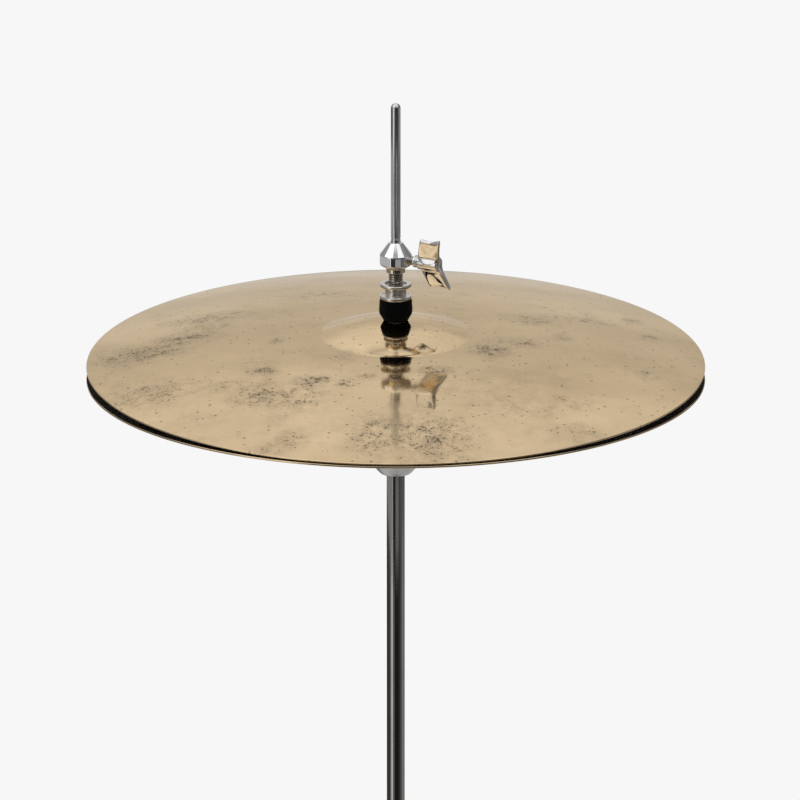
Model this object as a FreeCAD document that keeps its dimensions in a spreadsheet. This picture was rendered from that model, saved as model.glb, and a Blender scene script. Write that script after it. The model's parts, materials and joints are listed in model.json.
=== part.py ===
import FreeCAD, Part
import math
import os

import Sketcher

# A pedal hi-hat: two 16 inch cymbals on a light single-braced stand.
# Millimetres, +Z up. The origin is on the floor, on the axis of the column.
# The pedal points to -Y. Legs stand at 90, 210 and 330 degrees round the column.

Vector = FreeCAD.Vector
Rotation = FreeCAD.Rotation
Placement = FreeCAD.Placement

DIMENSIONS = [
    # fits
    ("running_gap", 0.05, "radial clearance of a part that turns or slides on another"),
    ("fixed_gap", 0.02, "radial clearance of a part that is fastened to another"),
    # cymbals
    ("cymbal_radius", 203.2, "half of 16 inches"),
    ("cymbal_rise", 29.8, "outer rim edge to the top of the bell"),
    ("bell_radius", 46.0, "where the bell ends"),
    ("bell_drop", 8.55, "top of the bell to its edge"),
    ("bell_curve", 128.0, "sphere that the bell is part of"),
    ("bow_start", 52.0, "where the bow begins"),
    ("bow_drop", 9.75, "top of the bell to where the bow begins"),
    ("bow_curve", 742.0, "sphere that the bow is part of"),
    ("flare_curve", 18.1, "hollow between bell and bow"),
    ("cymbal_hole", 6.0, "radius of the hole in the bell"),
    ("top_sheet", 1.0, "thickness of the top cymbal"),
    ("bottom_sheet", 1.2, "thickness of the bottom cymbal"),
    ("bottom_rim_z", 830.0, "mid-thickness of the bottom cymbal's rim"),
    ("open_height", 8.55, "between the two rim centres with the pedal up"),
    ("top_tilt", 1.95, "degrees; the top cymbal hangs low on the pedal side"),
    # pull rod
    ("rod_radius", 3.175, "quarter inch pull rod"),
    ("rod_top_z", 1015.2, "top of the pull rod"),
    ("rod_joint_z", 280.0, "where the upper rod meets the lower pull rod"),
    ("mark_z", 924.0, "depth mark turned into the rod above the clutch"),
    ("mark_width", 0.8, "width of the depth mark"),
    ("mark_depth", 0.35, "depth of the depth mark"),
    # clutch, heights above the rim centre of the top cymbal
    ("thread_radius", 4.8, "clutch thread that passes through the cymbal"),
    ("collar_radius", 10.45, "clutch collar"),
    ("collar_tip", 83.2, "top of the collar's cone"),
    ("collar_high", 75.0, "bottom of the cone"),
    ("collar_low", 68.6, "bottom of the cylinder"),
    ("collar_root", 65.6, "bottom of the lower chamfer"),
    ("shank_radius", 6.3, "sleeve below the collar"),
    ("shank_low", 62.9, "bottom of the sleeve"),
    ("clutch_low", 7.5, "bottom of the clutch thread"),
    ("nut_radius", 10.5, "jam nut"),
    ("jam_top", 55.7, "top of the jam nut"),
    ("jam_low", 53.05, "underside of the jam nut"),
    ("neck_radius", 7.05, "neck of the flange nut"),
    ("neck_top", 53.0, "top of the flange nut"),
    ("flange_radius", 10.4, "cup flange that presses the felt"),
    ("flange_top", 47.2, "top of the cup flange"),
    ("flange_low", 44.8, "underside of the flange nut"),
    ("felt_top", 44.75, "upper felt"),
    ("felt_low", 30.7, "underside of the upper felt"),
    ("felt_radius", 11.0, "widest part of the upper felt"),
    ("felt_foot", 8.2, "radius where the upper felt meets the bell"),
    ("felt_relief", 6.4, "hollow in both felts round the cymbal sleeve"),
    ("under_felt_top", 28.4, "lower felt"),
    ("under_felt_low", 22.4, "underside of the lower felt"),
    ("under_felt_radius", 10.5, "radius of the lower felt"),
    ("bottom_nut_top", 22.35, "top of the nut under the cymbal"),
    ("bottom_nut_low", 11.4, "its underside"),
    ("bottom_nut_radius", 9.0, "its radius"),
    ("sleeve_inner", 5.05, "nylon sleeve in the top cymbal's hole"),
    ("sleeve_half", 2.5, "half its length"),
    ("wing_axis", 72.2, "height of the clutch screw"),
    # wing bolts, along the screw from the column's axis
    ("screw_radius", 3.0, "wing bolt screw"),
    ("boss_start", 15.3, "near end of the boss"),
    ("boss_end", 32.3, "far end of the boss"),
    ("boss_radius", 4.5, "round boss between the lobes"),
    ("wing_root", 4.5, "where the lobes leave the boss"),
    ("wing_tip", 15.5, "half the span across the lobes"),
    ("clutch_wing_tip", 19.0, "the same on the clutch's wider bolt"),
    ("wing_inner", 21.0, "near corner of a lobe"),
    ("wing_outer", 36.5, "far corner of a lobe"),
    ("wing_thick", 5.0, "thickness of the lobes"),
    ("clutch_wing_turn", -29.0, "degrees round the column"),
    ("clutch_wing_roll", 25.0, "degrees round the screw"),
    # seat of the bottom cymbal
    ("seat_low_z", 763.65, "lip at the bottom of the seat cup"),
    ("seat_top_z", 793.4, "face under the seat felt"),
    ("seat_lip", 9.8, "lip radius"),
    ("seat_bowl", 13.6, "radius where the bowl opens"),
    ("seat_bowl_rise", 4.2, "height of that point above the lip"),
    ("seat_radius", 19.0, "widest part of the cup"),
    ("seat_belly_rise", 18.0, "height of the widest part above the lip"),
    ("seat_sleeve_radius", 5.5, "sleeve through the bottom cymbal"),
    ("seat_sleeve_top_z", 806.0, "top of that sleeve"),
    ("seat_felt_radius", 18.0, "felt under the bottom cymbal"),
    # column
    ("upper_tube_radius", 6.0, "half of 12 mm"),
    ("upper_tube_bore", 4.5, "bore of the upper tube"),
    ("upper_tube_low_z", 380.0, "lower end, inside the lower tube"),
    ("upper_tube_top_z", 775.0, "upper end, inside the seat cup"),
    ("lower_tube_radius", 11.1, "outside of the lower tube"),
    ("lower_tube_bore", 9.6, "bore of the lower tube"),
    ("lower_tube_low_z", 126.0, "lower end, in the frame's socket"),
    ("lower_tube_top_z", 495.0, "upper end, in the height clamp"),
    ("clamp_low_z", 470.0, "underside of the height clamp"),
    ("clamp_top_z", 510.0, "top of the height clamp"),
    ("clamp_radius", 16.0, "outside of the height clamp"),
    ("clamp_wing_z", 502.5, "height of its wing bolt"),
    # pull rod inside the column
    ("pull_radius", 4.0, "lower pull rod"),
    ("pull_low_z", 104.0, "bottom of the lower pull rod's fork"),
    ("pull_neck_z", 266.0, "where the lower pull rod narrows"),
    ("coupler_radius", 4.25, "sleeve that joins the two rods"),
    ("coupler_low_z", 266.2, "lower end of the sleeve"),
    ("coupler_top_z", 294.0, "upper end of the sleeve"),
    ("spring_low_z", 132.0, "under the return spring"),
    ("spring_top_z", 255.0, "over the return spring"),
    ("spring_radius", 6.6, "mean radius of the coil"),
    ("spring_wire", 0.9, "radius of the wire"),
    ("spring_pitch", 9.0, "rise of one turn of the coil"),
    # tripod
    ("pivot_radius", 20.0, "leg pivots from the column's axis"),
    ("hub_pivot_z", 168.0, "brace pivots on the hub"),
    ("brace_length", 72.0, "also the distance from a leg's top pivot to its brace"),
    ("leg_angle", 48.0, "degrees from the vertical, open"),
    ("leg_length", 377.1, "top pivot to the end of the channel"),
    ("ring_radius", 14.4, "outside of hub and collar rings"),
    ("lug_half", 4.9, "half the thickness of a collar lug"),
    ("lug_round", 6.0, "rounding radius of the lugs and of the channel's end"),
    ("slot_travel", 6.7, "play of a leg rivet in the collar lug"),
    ("rivet_radius", 2.5, "rivets and linkage pins"),
    ("channel_half", 6.5, "half the width of a leg channel"),
    ("channel_gap", 5.1, "half the gap between its walls"),
    ("channel_back", 8.4, "depth of the leg channel behind its pivot line"),
    ("channel_floor", 7.0, "inside of the channel's back"),
    ("brace_half", 2.0, "half the thickness of a brace"),
    ("brace_round", 5.0, "half the width of a brace"),
    ("ear_half", 5.1, "half the width across the hub's ears"),
    ("ear_gap", 2.1, "half the gap between them"),
    # base frame and pedal
    ("pad_height", 3.0, "rubber under the frame and the heel plate"),
    ("arm_inner", 36.0, "inside of the frame's side arms"),
    ("arm_outer", 46.0, "outside of the frame's side arms"),
    ("arm_depth", 12.0, "half the depth of the frame"),
    ("bridge_low_z", 112.0, "underside of the frame's bridge"),
    ("socket_top_z", 140.0, "top of the tube socket"),
    ("socket_radius", 17.0, "outside of the tube socket"),
    ("foot_bar_top_z", 12.0, "top of the frame's foot bar"),
    ("throat_radius", 8.6, "hole in the bridge that the fork passes"),
    ("bar_x", 28.0, "radius rods from the middle"),
    ("bar_z", 7.5, "height of the radius rods"),
    ("bar_radius", 2.5, "radius rods between frame and heel plate"),
    ("bar_end_y", -228.0, "heel end of the radius rods"),
    ("bar_depth", 2.0, "how far they reach into the frame"),
    ("dial_rise", 0.5, "gap between socket and tension dial"),
    ("dial_height", 12.5, "height of the tension dial"),
    ("heel_y", -235.0, "heel hinge"),
    ("heel_z", 24.0, "height of the heel hinge"),
    ("heel_pin_radius", 4.0, "heel hinge pin"),
    ("toe_z", 64.0, "toe pin, under the column"),
    ("fork_z", 102.0, "pin between the pull rod's fork and the link"),
    ("board_thick", 4.0, "thickness of the footboard"),
    ("board_lift", 2.0, "underside of the footboard above the hinge line"),
    ("board_wide", 42.0, "half the widest part"),
    ("board_toe", 26.0, "half the toe"),
    ("board_heel", 31.0, "half the heel end"),
    ("heel_front_y", -215.0, "front edge of the heel plate"),
    ("heel_back_y", -310.0, "back edge of the heel plate"),
    ("heel_half", 38.0, "half its width"),
    ("heel_corner", 7.0, "cut across its back corners"),
    ("heel_thick", 9.0, "thickness of the heel plate"),
    ("heel_lug", 5.0, "thickness of its hinge lugs"),
    ("heel_eye", 8.0, "radius of the lugs' eyes"),
    ("knuckle_inner", 22.0, "footboard knuckles on the heel pin"),
    ("knuckle_outer", 32.6, "their outer ends"),
    ("knuckle_radius", 7.0, "radius of the knuckles"),
    ("rib_x", 20.0, "stiffening ribs from the middle"),
    ("rib_half", 1.5, "half their thickness"),
    ("rib_start", 20.0, "heel end of the ribs"),
    ("rib_end", 185.0, "toe end of the ribs"),
    ("rib_depth", 4.0, "ribs below the hinge line"),
    ("tread_half", 30.0, "half the length of a tread pad"),
    ("tread_depth", 12.0, "depth of a tread pad"),
    ("tread_rise", 2.5, "height of a tread pad"),
    ("cheek_inner", 1.9, "toe bracket's cheeks beside the link"),
    ("cheek_outer", 5.4, "their outer faces"),
    ("saddle_half", 13.0, "half the toe bracket's plate"),
    ("saddle_start", 194.0, "heel end of that plate"),
    ("saddle_end", 224.0, "toe end of that plate"),
    ("link_half", 1.5, "half the link's thickness"),
    ("link_round", 5.0, "half its width"),
    ("link_play", 0.4, "play of the toe pin in the link"),
    # rubber boot on each leg, from the channel's axis
    ("boot_half", 9.5, "half the boot's width"),
    ("boot_back", 11.5, "its far side"),
    ("boot_cover", 34.0, "length of leg that it covers"),
]

DOC = FreeCAD.newDocument("hi_hat")
SHEET = DOC.addObject("Spreadsheet::Sheet", "dims")
for row, (alias, value, note) in enumerate(DIMENSIONS, start=1):
    SHEET.set(f"A{row}", alias)
    SHEET.set(f"B{row}", str(value))
    SHEET.set(f"C{row}", note)
    SHEET.setAlias(f"B{row}", alias)
DOC.recompute()

NODES = []
X_AXIS = Vector(1, 0, 0)
Y_AXIS = Vector(0, 1, 0)
Z_AXIS = Vector(0, 0, 1)
LEG_TURNS = (90.0, 210.0, 330.0)


def number(value):
    """A number, from a number or from an expression on the sheet."""
    if isinstance(value, str):
        result = SHEET.evalExpression(value)
        return float(getattr(result, "Value", result))
    return float(value)


def dim(alias):
    return number("dims." + alias)


RIM_Z = dim("bottom_rim_z") + dim("open_height")


# ---------------------------------------------------------------- sketches

def bind(owner, path, value):
    """Ties a property or constraint to the sheet when its value is an expression."""
    if isinstance(value, str):
        owner.setExpression(path, value)


def new_sketch(body, name, role):
    plane = [item for item in body.Origin.OriginFeatures if item.Role == role][0]
    sketch = body.newObject("Sketcher::SketchObject", name)
    sketch.AttachmentSupport = [(plane, "")]
    sketch.MapMode = "FlatFace"
    return sketch


def fix_point(sketch, index, position, x, y):
    for kind, value in (("DistanceX", x), ("DistanceY", y)):
        rule = Sketcher.Constraint(kind, -1, 1, index, position, number(value))
        bind(sketch, f"Constraints[{sketch.addConstraint(rule)}]", value)


def fix_radius(sketch, index, radius):
    rule = Sketcher.Constraint("Radius", index, number(radius))
    bind(sketch, f"Constraints[{sketch.addConstraint(rule)}]", radius)


def bent_edge(here, there, radius, side):
    """Arc from here to there; side +1 bulges to the left of the direction of travel."""
    chord = there - here
    left = Vector(-chord.y, chord.x, 0).normalize()
    middle = (here + there) * 0.5
    centre = middle - left * (side * math.sqrt(radius * radius - chord.Length * chord.Length / 4))
    first, last = (there, here) if side > 0 else (here, there)
    angles = [math.atan2(point.y - centre.y, point.x - centre.x) for point in (first, last)]
    return Part.ArcOfCircle(Part.Circle(centre, Z_AXIS, radius), angles[0], angles[1])


def outline(sketch, corners, arcs=None):
    """Closed loop through the corners. arcs[i] = (radius, side) bends the edge that leaves corner i."""
    arcs = arcs or {}
    places = [Vector(number(x), number(y), 0) for x, y in corners]
    edges = []
    for i, here in enumerate(places):
        there = places[(i + 1) % len(places)]
        if i in arcs:
            radius, side = arcs[i]
            index = sketch.addGeometry(bent_edge(here, there, number(radius), side))
            edges.append((index, 2, 1) if side > 0 else (index, 1, 2))
        else:
            index = sketch.addGeometry(Part.LineSegment(here, there))
            edges.append((index, 1, 2))
    for i, (index, first, _) in enumerate(edges):
        before, _, last = edges[i - 1]
        sketch.addConstraint(Sketcher.Constraint("Coincident", before, last, index, first))
    for (index, first, _), (x, y) in zip(edges, corners):
        fix_point(sketch, index, first, x, y)
    for i, (radius, _) in arcs.items():
        fix_radius(sketch, edges[i][0], radius)


def circle(sketch, x, y, radius):
    index = sketch.addGeometry(Part.Circle(Vector(number(x), number(y), 0), Z_AXIS, number(radius)))
    fix_point(sketch, index, 3, x, y)
    fix_radius(sketch, index, radius)


# ---------------------------------------------------------------- solids

def node(obj, label):
    """Registers a finished piece; its label names its file."""
    obj.Label = label
    NODES.append(obj)
    return obj


def turned(label, corners, arcs=None, lift=None):
    """Solid of revolution round Z from a profile of (radius, height) corners."""
    body = DOC.addObject("PartDesign::Body", label)
    sketch = new_sketch(body, label + "_profile", "XZ_Plane")
    outline(sketch, corners, arcs)
    turn = body.newObject("PartDesign::Revolution", label + "_turn")
    turn.Profile = sketch
    turn.ReferenceAxis = (sketch, ["V_Axis"])
    turn.Angle = 360
    body.Tip = turn
    if lift:
        body.setExpression("Placement.Base.z", lift)
    return body


def ring(label, inner, outer, low, high, lift=None):
    return turned(label, [(inner, low), (outer, low), (outer, high), (inner, high)], lift=lift)


def plate(label, corners, thickness, role="XY_Plane", arcs=None, holes=()):
    """Flat piece, centred on an origin plane; holes are (x, y, radius)."""
    body = DOC.addObject("PartDesign::Body", label)
    sketch = new_sketch(body, label + "_outline", role)
    outline(sketch, corners, arcs)
    for x, y, radius in holes:
        circle(sketch, x, y, radius)
    pad = body.newObject("PartDesign::Pad", label + "_pad")
    pad.Profile = sketch
    pad.Length = number(thickness)
    bind(pad, "Length", thickness)
    pad.Midplane = True
    body.Tip = pad
    return body


def box(label, low, high):
    block = DOC.addObject("Part::Box", label)
    for side, axis, start, end in zip(("Length", "Width", "Height"), "xyz", low, high):
        block.setExpression(side, f"({end}) - ({start})")
        block.setExpression(f"Placement.Base.{axis}", f"{start}")
    return block


def cylinder(label, radius, low, high, axis=Z_AXIS, across=(0, 0)):
    """Cylinder along a main axis; across places it on the other two axes, in X, Y, Z order."""
    round_bar = DOC.addObject("Part::Cylinder", label)
    round_bar.setExpression("Radius", f"{radius}")
    round_bar.setExpression("Height", f"({high}) - ({low})")
    round_bar.Placement = Placement(Vector(), Rotation(Z_AXIS, axis))
    base = list(across)
    base.insert("xyz".index("x" if axis == X_AXIS else "y" if axis == Y_AXIS else "z"), low)
    for name, value in zip("xyz", base):
        round_bar.setExpression(f"Placement.Base.{name}", f"{value}")
    return round_bar


def fuse(label, pieces):
    joined = DOC.addObject("Part::MultiFuse", label)
    joined.Shapes = pieces
    joined.Refine = True
    return joined


def cut(label, base, tools):
    hollow = DOC.addObject("Part::Cut", label)
    hollow.Base = base
    hollow.Tool = tools[0] if len(tools) == 1 else fuse(label + "_tools", tools)
    return hollow


def group(label, pieces):
    """Identical loose fasteners kept together as separate solids."""
    together = DOC.addObject("Part::Compound", label)
    together.Links = pieces
    return together


def place(obj, origin, rotation=None):
    """Moves a piece that is set out round the local origin to its own place."""
    obj.recompute()
    local = obj.Placement
    for axis in "xyz":
        obj.setExpression(f"Placement.Base.{axis}", None)
    obj.Placement = Placement(origin, rotation or Rotation()).multiply(local)
    return obj


def turned_about_z(angle):
    return Rotation(Z_AXIS, angle)


# ---------------------------------------------------------------- cymbals

def cymbal(label, sheet):
    """Bell up, outer rim edge on z = 0: bell, flare, bow, rim."""
    top = "dims.cymbal_rise"
    outer = [
        ("dims.cymbal_hole", f"{top} - 0.1"),
        ("dims.bell_radius", f"{top} - dims.bell_drop"),
        ("dims.bow_start", f"{top} - dims.bow_drop"),
        ("dims.cymbal_radius", 0),
    ]
    inner = [(radius, f"{height} - {sheet}") for radius, height in reversed(outer)]
    arcs = {
        0: ("dims.bell_curve", 1),
        1: ("dims.flare_curve", -1),
        2: ("dims.bow_curve", 1),
        4: ("dims.bow_curve", -1),
        5: ("dims.flare_curve", 1),
        6: ("dims.bell_curve", -1),
    }
    return turned(label, outer + inner, arcs)


def build_cymbals():
    tilt = Rotation(X_AXIS, dim("top_tilt"))
    hole = Vector(0, 0, dim("cymbal_rise") - dim("top_sheet") / 2)
    half_sheet = dim("top_sheet") / 2
    pivot = Vector(0, 0, RIM_Z + half_sheet) + hole
    top = node(cymbal("top_cymbal", "dims.top_sheet"), "top_cymbal")
    place(top, pivot - tilt.multVec(hole), tilt)
    sleeve = ring("cymbal_sleeve", "dims.sleeve_inner", "dims.cymbal_hole - dims.running_gap",
                  "-dims.sleeve_half", "dims.sleeve_half")
    place(node(sleeve, "cymbal_sleeve"), pivot, tilt)
    bottom = node(cymbal("bottom_cymbal", "dims.bottom_sheet"), "bottom_cymbal")
    place(bottom, Vector(0, 0, dim("bottom_rim_z") - dim("bottom_sheet") / 2), Rotation(X_AXIS, 180))


# ---------------------------------------------------------------- clutch

RIM = "dims.bottom_rim_z + dims.open_height"


def build_clutch():
    bore = "dims.rod_radius + dims.running_gap"
    collar = turned("clutch_blank", [
        (bore, "dims.clutch_low"),
        ("dims.thread_radius", "dims.clutch_low"),
        ("dims.thread_radius", "dims.shank_low"),
        ("dims.shank_radius", "dims.shank_low"),
        ("dims.shank_radius", "dims.collar_root"),
        ("dims.collar_radius", "dims.collar_low"),
        ("dims.collar_radius", "dims.collar_high"),
        ("dims.rod_radius + 1.2", "dims.collar_tip"),
        (bore, "dims.collar_tip"),
    ])
    hole = cylinder("clutch_screw_hole", "dims.screw_radius + dims.running_gap", 0, 20,
                    X_AXIS, (0, "dims.wing_axis"))
    body = node(cut("clutch_body", collar, [hole]), "clutch_body")
    place(body, Vector(0, 0, RIM_Z), turned_about_z(dim("clutch_wing_turn")))

    thread = "dims.thread_radius + dims.running_gap"
    node(turned("clutch_jam_nut", [
        (thread, "dims.jam_low"),
        ("dims.nut_radius - 0.7", "dims.jam_low"),
        ("dims.nut_radius", "dims.jam_low + 0.6"),
        ("dims.nut_radius", "dims.jam_top - 0.6"),
        ("dims.nut_radius - 0.7", "dims.jam_top"),
        (thread, "dims.jam_top"),
    ], lift=RIM), "clutch_jam_nut")
    node(turned("clutch_flange_nut", [
        (thread, "dims.flange_low"),
        ("dims.flange_radius", "dims.flange_low"),
        ("dims.flange_radius", "dims.flange_top"),
        ("dims.flange_radius - 1.0", "dims.flange_top + 0.4"),
        ("dims.flange_radius - 1.6", "dims.flange_top - 0.4"),
        ("dims.neck_radius", "dims.flange_top - 0.4"),
        ("dims.neck_radius", "dims.neck_top"),
        (thread, "dims.neck_top"),
    ], lift=RIM), "clutch_flange_nut")
    node(turned("upper_felt", [
        (thread, "dims.felt_low + 3.2"),
        ("dims.felt_relief", "dims.felt_low + 3.2"),
        ("dims.felt_relief", "dims.felt_low"),
        ("dims.felt_foot", "dims.felt_low"),
        ("dims.felt_radius", "dims.felt_low + 4.8"),
        ("dims.felt_radius - 0.4", "dims.felt_top - 2.4"),
        ("dims.felt_radius - 0.7", "dims.felt_top"),
        (thread, "dims.felt_top"),
    ], lift=RIM), "upper_felt")
    node(turned("lower_felt", [
        (thread, "dims.under_felt_low"),
        ("dims.under_felt_radius", "dims.under_felt_low"),
        ("dims.under_felt_radius", "dims.under_felt_top"),
        ("dims.felt_relief", "dims.under_felt_top"),
        ("dims.felt_relief", "dims.under_felt_top - 3.2"),
        (thread, "dims.under_felt_top - 3.2"),
    ], lift=RIM), "lower_felt")
    node(ring("clutch_bottom_nut", thread, "dims.bottom_nut_radius",
              "dims.bottom_nut_low", "dims.bottom_nut_top", lift=RIM), "clutch_bottom_nut")


# ---------------------------------------------------------------- wing bolts

def wing_bolt(label, reach, tip="dims.wing_tip"):
    """Winged head and screw along +X from X = reach; tip is half the span. Returns head and screw."""
    lobe = [
        ("dims.boss_start + 0.7", "dims.wing_root"),
        ("dims.wing_inner", f"{tip} - 1.5"),
        ("dims.wing_outer - 6", f"{tip} + 0.5"),
        ("dims.wing_outer", f"{tip} - 0.5"),
        ("dims.boss_end", "dims.wing_root"),
    ]
    lower = [(x, f"-({y})") for x, y in reversed(lobe)]
    wings = plate(label + "_lobes", lobe + lower, "dims.wing_thick", "XZ_Plane")
    boss = cylinder(label + "_boss", "dims.boss_radius", "dims.boss_start", "dims.boss_end", X_AXIS)
    socket = cylinder(label + "_socket", "dims.screw_radius + dims.fixed_gap",
                      "dims.boss_start - 1", "dims.boss_start + 9", X_AXIS)
    head = cut(label + "_head", fuse(label + "_solid", [wings, boss]), [socket])
    screw = cylinder(label + "_screw", "dims.screw_radius", reach, "dims.boss_start + 8.9", X_AXIS)
    return head, screw


def build_clutch_wing():
    head, screw = wing_bolt("clutch_wing_bolt", "dims.rod_radius + dims.running_gap + 0.1",
                            "dims.clutch_wing_tip")
    turn = math.radians(dim("clutch_wing_turn"))
    roll = math.radians(dim("clutch_wing_roll"))
    out = Vector(math.cos(turn), math.sin(turn), 0)
    side = Vector(math.sin(turn), -math.cos(turn), 0)
    lobe = Z_AXIS * math.cos(roll) + side * math.sin(roll)
    rotation = Rotation(out, lobe.cross(out), lobe)
    centre = Vector(0, 0, RIM_Z + dim("wing_axis"))
    place(node(head, "clutch_wing"), centre, rotation)
    place(node(screw, "clutch_screw"), centre, rotation)


def joined_wing_bolt(label, reach, shift, centre, rotation):
    """Head and screw as one piece, moved out by shift from the column's axis."""
    head, screw = wing_bolt(label, f"({reach}) - ({shift})")
    inner = cylinder(label + "_core", "dims.screw_radius + 1", "dims.boss_start", "dims.boss_end", X_AXIS)
    bolt = fuse(label, [head, screw, inner])
    out = rotation.multVec(X_AXIS)
    return place(node(bolt, label), centre + out * shift, rotation)


# ---------------------------------------------------------------- column

def build_column():
    rod = turned("upper_rod", [
        (0, "dims.rod_joint_z"),
        ("dims.rod_radius", "dims.rod_joint_z"),
        ("dims.rod_radius", "dims.mark_z"),
        ("dims.rod_radius - dims.mark_depth", "dims.mark_z"),
        ("dims.rod_radius - dims.mark_depth", "dims.mark_z + dims.mark_width"),
        ("dims.rod_radius", "dims.mark_z + dims.mark_width"),
        ("dims.rod_radius", "dims.rod_top_z - 2.2"),
        ("dims.rod_radius - 1.2", "dims.rod_top_z - 0.4"),
        ("dims.rod_radius - 2.2", "dims.rod_top_z"),
        (0, "dims.rod_top_z"),
    ])
    node(rod, "upper_rod")
    node(ring("upper_tube", "dims.upper_tube_bore", "dims.upper_tube_radius",
              "dims.upper_tube_low_z", "dims.upper_tube_top_z"), "upper_tube")
    node(ring("lower_tube", "dims.lower_tube_bore", "dims.lower_tube_radius",
              "dims.lower_tube_low_z", "dims.lower_tube_top_z"), "lower_tube")
    build_seat()
    build_height_clamp()


def build_seat():
    tube = "dims.upper_tube_radius + dims.fixed_gap"
    guide = "dims.rod_radius + 0.7"
    sleeve = "dims.seat_sleeve_radius + dims.fixed_gap"
    node(turned("seat_cup", [
        (tube, "dims.seat_low_z"),
        ("dims.seat_lip", "dims.seat_low_z"),
        ("dims.seat_bowl", "dims.seat_low_z + dims.seat_bowl_rise"),
        ("dims.seat_radius", "dims.seat_low_z + dims.seat_belly_rise"),
        ("dims.seat_radius", "dims.seat_top_z"),
        (sleeve, "dims.seat_top_z"),
        (sleeve, "dims.seat_top_z - 8"),
        (guide, "dims.seat_top_z - 8"),
        (guide, "dims.upper_tube_top_z + 0.1"),
        (tube, "dims.upper_tube_top_z + 0.1"),
    ], {1: (14.0, -1), 2: (17.0, -1)}), "seat_cup")
    node(ring("rod_guide", "dims.rod_radius + dims.running_gap", "dims.rod_radius + 0.68",
              "dims.upper_tube_top_z + 0.2", "dims.seat_top_z - 8.1"), "rod_guide")
    node(ring("seat_sleeve", "dims.rod_radius + 0.6", "dims.seat_sleeve_radius",
              "dims.seat_top_z - 7.9", "dims.seat_sleeve_top_z"), "seat_sleeve")
    bell_low = "dims.bottom_rim_z - dims.bottom_sheet / 2 - dims.cymbal_rise"
    node(ring("seat_felt", "dims.seat_sleeve_radius + 0.1", "dims.seat_felt_radius",
              "dims.seat_top_z + 0.05", f"{bell_low} - 0.1"), "seat_felt")


def build_height_clamp():
    shell = turned("clamp_shell", [
        ("dims.lower_tube_radius + dims.fixed_gap", "dims.clamp_low_z"),
        ("dims.clamp_radius - 2.5", "dims.clamp_low_z"),
        ("dims.clamp_radius", "dims.clamp_low_z + 6"),
        ("dims.clamp_radius", "dims.clamp_top_z - 2"),
        ("dims.clamp_radius - 2", "dims.clamp_top_z"),
        ("dims.lower_tube_bore", "dims.clamp_top_z"),
        ("dims.lower_tube_bore", "dims.lower_tube_top_z + 0.1"),
        ("dims.lower_tube_radius + dims.fixed_gap", "dims.lower_tube_top_z + 0.1"),
    ])
    boss = cylinder("clamp_boss", 6.5, 12, 20, X_AXIS, (0, "dims.clamp_wing_z"))
    hole = cylinder("clamp_screw_hole", "dims.screw_radius + dims.running_gap", 0, 30,
                    X_AXIS, (0, "dims.clamp_wing_z"))
    bore = cylinder("clamp_clear_bore", "dims.lower_tube_bore", "dims.lower_tube_top_z + 0.1",
                    "dims.clamp_top_z + 5")
    node(cut("height_clamp", fuse("clamp_solid", [shell, boss]), [hole, bore]), "height_clamp")
    bushing = ring("bushing_blank", "dims.upper_tube_radius + dims.running_gap",
                   "dims.lower_tube_bore - dims.fixed_gap", "dims.clamp_low_z - 5", "dims.clamp_top_z")
    slot = cylinder("bushing_hole", "dims.screw_radius + dims.running_gap", 0, 30,
                    X_AXIS, (0, "dims.clamp_wing_z"))
    node(cut("clamp_bushing", bushing, [slot]), "clamp_bushing")
    joined_wing_bolt("clamp_wing_bolt", "dims.upper_tube_radius + 0.1", 6.0,
                     Vector(0, 0, dim("clamp_wing_z")), Rotation())


# ---------------------------------------------------------------- pull rod in the column

def build_pull_rod():
    node(turned("lower_pull_rod", [
        (0, "dims.pull_low_z + 12"),
        ("dims.pull_radius", "dims.pull_low_z + 12"),
        ("dims.pull_radius", "dims.pull_neck_z"),
        ("dims.rod_radius", "dims.pull_neck_z"),
        ("dims.rod_radius", "dims.rod_joint_z - 0.1"),
        (0, "dims.rod_joint_z - 0.1"),
    ]), "lower_pull_rod")
    node(ring("rod_coupler", "dims.rod_radius + dims.fixed_gap", "dims.coupler_radius",
              "dims.coupler_low_z", "dims.coupler_top_z"), "rod_coupler")
    node(ring("spring_seat", "dims.pull_radius + 0.3", "dims.lower_tube_bore - dims.fixed_gap",
              "dims.lower_tube_low_z + 0.1", "dims.spring_low_z"), "spring_seat")
    node(ring("spring_cap", "dims.pull_radius + dims.fixed_gap", "dims.lower_tube_bore - 0.5",
              "dims.spring_top_z", "dims.spring_top_z + 6"), "spring_cap")
    build_spring()
    shank = cylinder("fork_shank", 8, "dims.fork_z - 6", "dims.fork_z + 22")
    slot = box("fork_slot", (-1.7, -10, "dims.fork_z - 7"), (1.7, 10, "dims.fork_z + 7"))
    pin_hole = cylinder("fork_pin_hole", "dims.rivet_radius + dims.fixed_gap", -10, 10,
                        X_AXIS, (0, "dims.fork_z"))
    socket = cylinder("fork_socket", "dims.pull_radius + dims.fixed_gap",
                      "dims.pull_low_z + 11.9", "dims.fork_z + 23")
    node(cut("rod_fork", shank, [slot, pin_hole, socket]), "rod_fork")
    node(cylinder("fork_pin", "dims.rivet_radius", -8, 8, X_AXIS, (0, "dims.fork_z")), "fork_pin")


def build_spring():
    wire = dim("spring_wire")
    low = dim("spring_low_z") + wire + 0.1
    coil_height = dim("spring_top_z") - dim("spring_low_z") - 2 * wire - 0.2
    helix = Part.makeHelix(dim("spring_pitch"), coil_height, dim("spring_radius"))
    section = Part.Wire(Part.makeCircle(wire, Vector(dim("spring_radius"), 0, 0), Y_AXIS))
    coil = Part.Wire(helix).makePipeShell([section], True, True)
    spring = DOC.addObject("Part::Feature", "return_spring")
    spring.Shape = coil
    place(node(spring, "return_spring"), Vector(0, 0, low))


# ---------------------------------------------------------------- tripod

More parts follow.
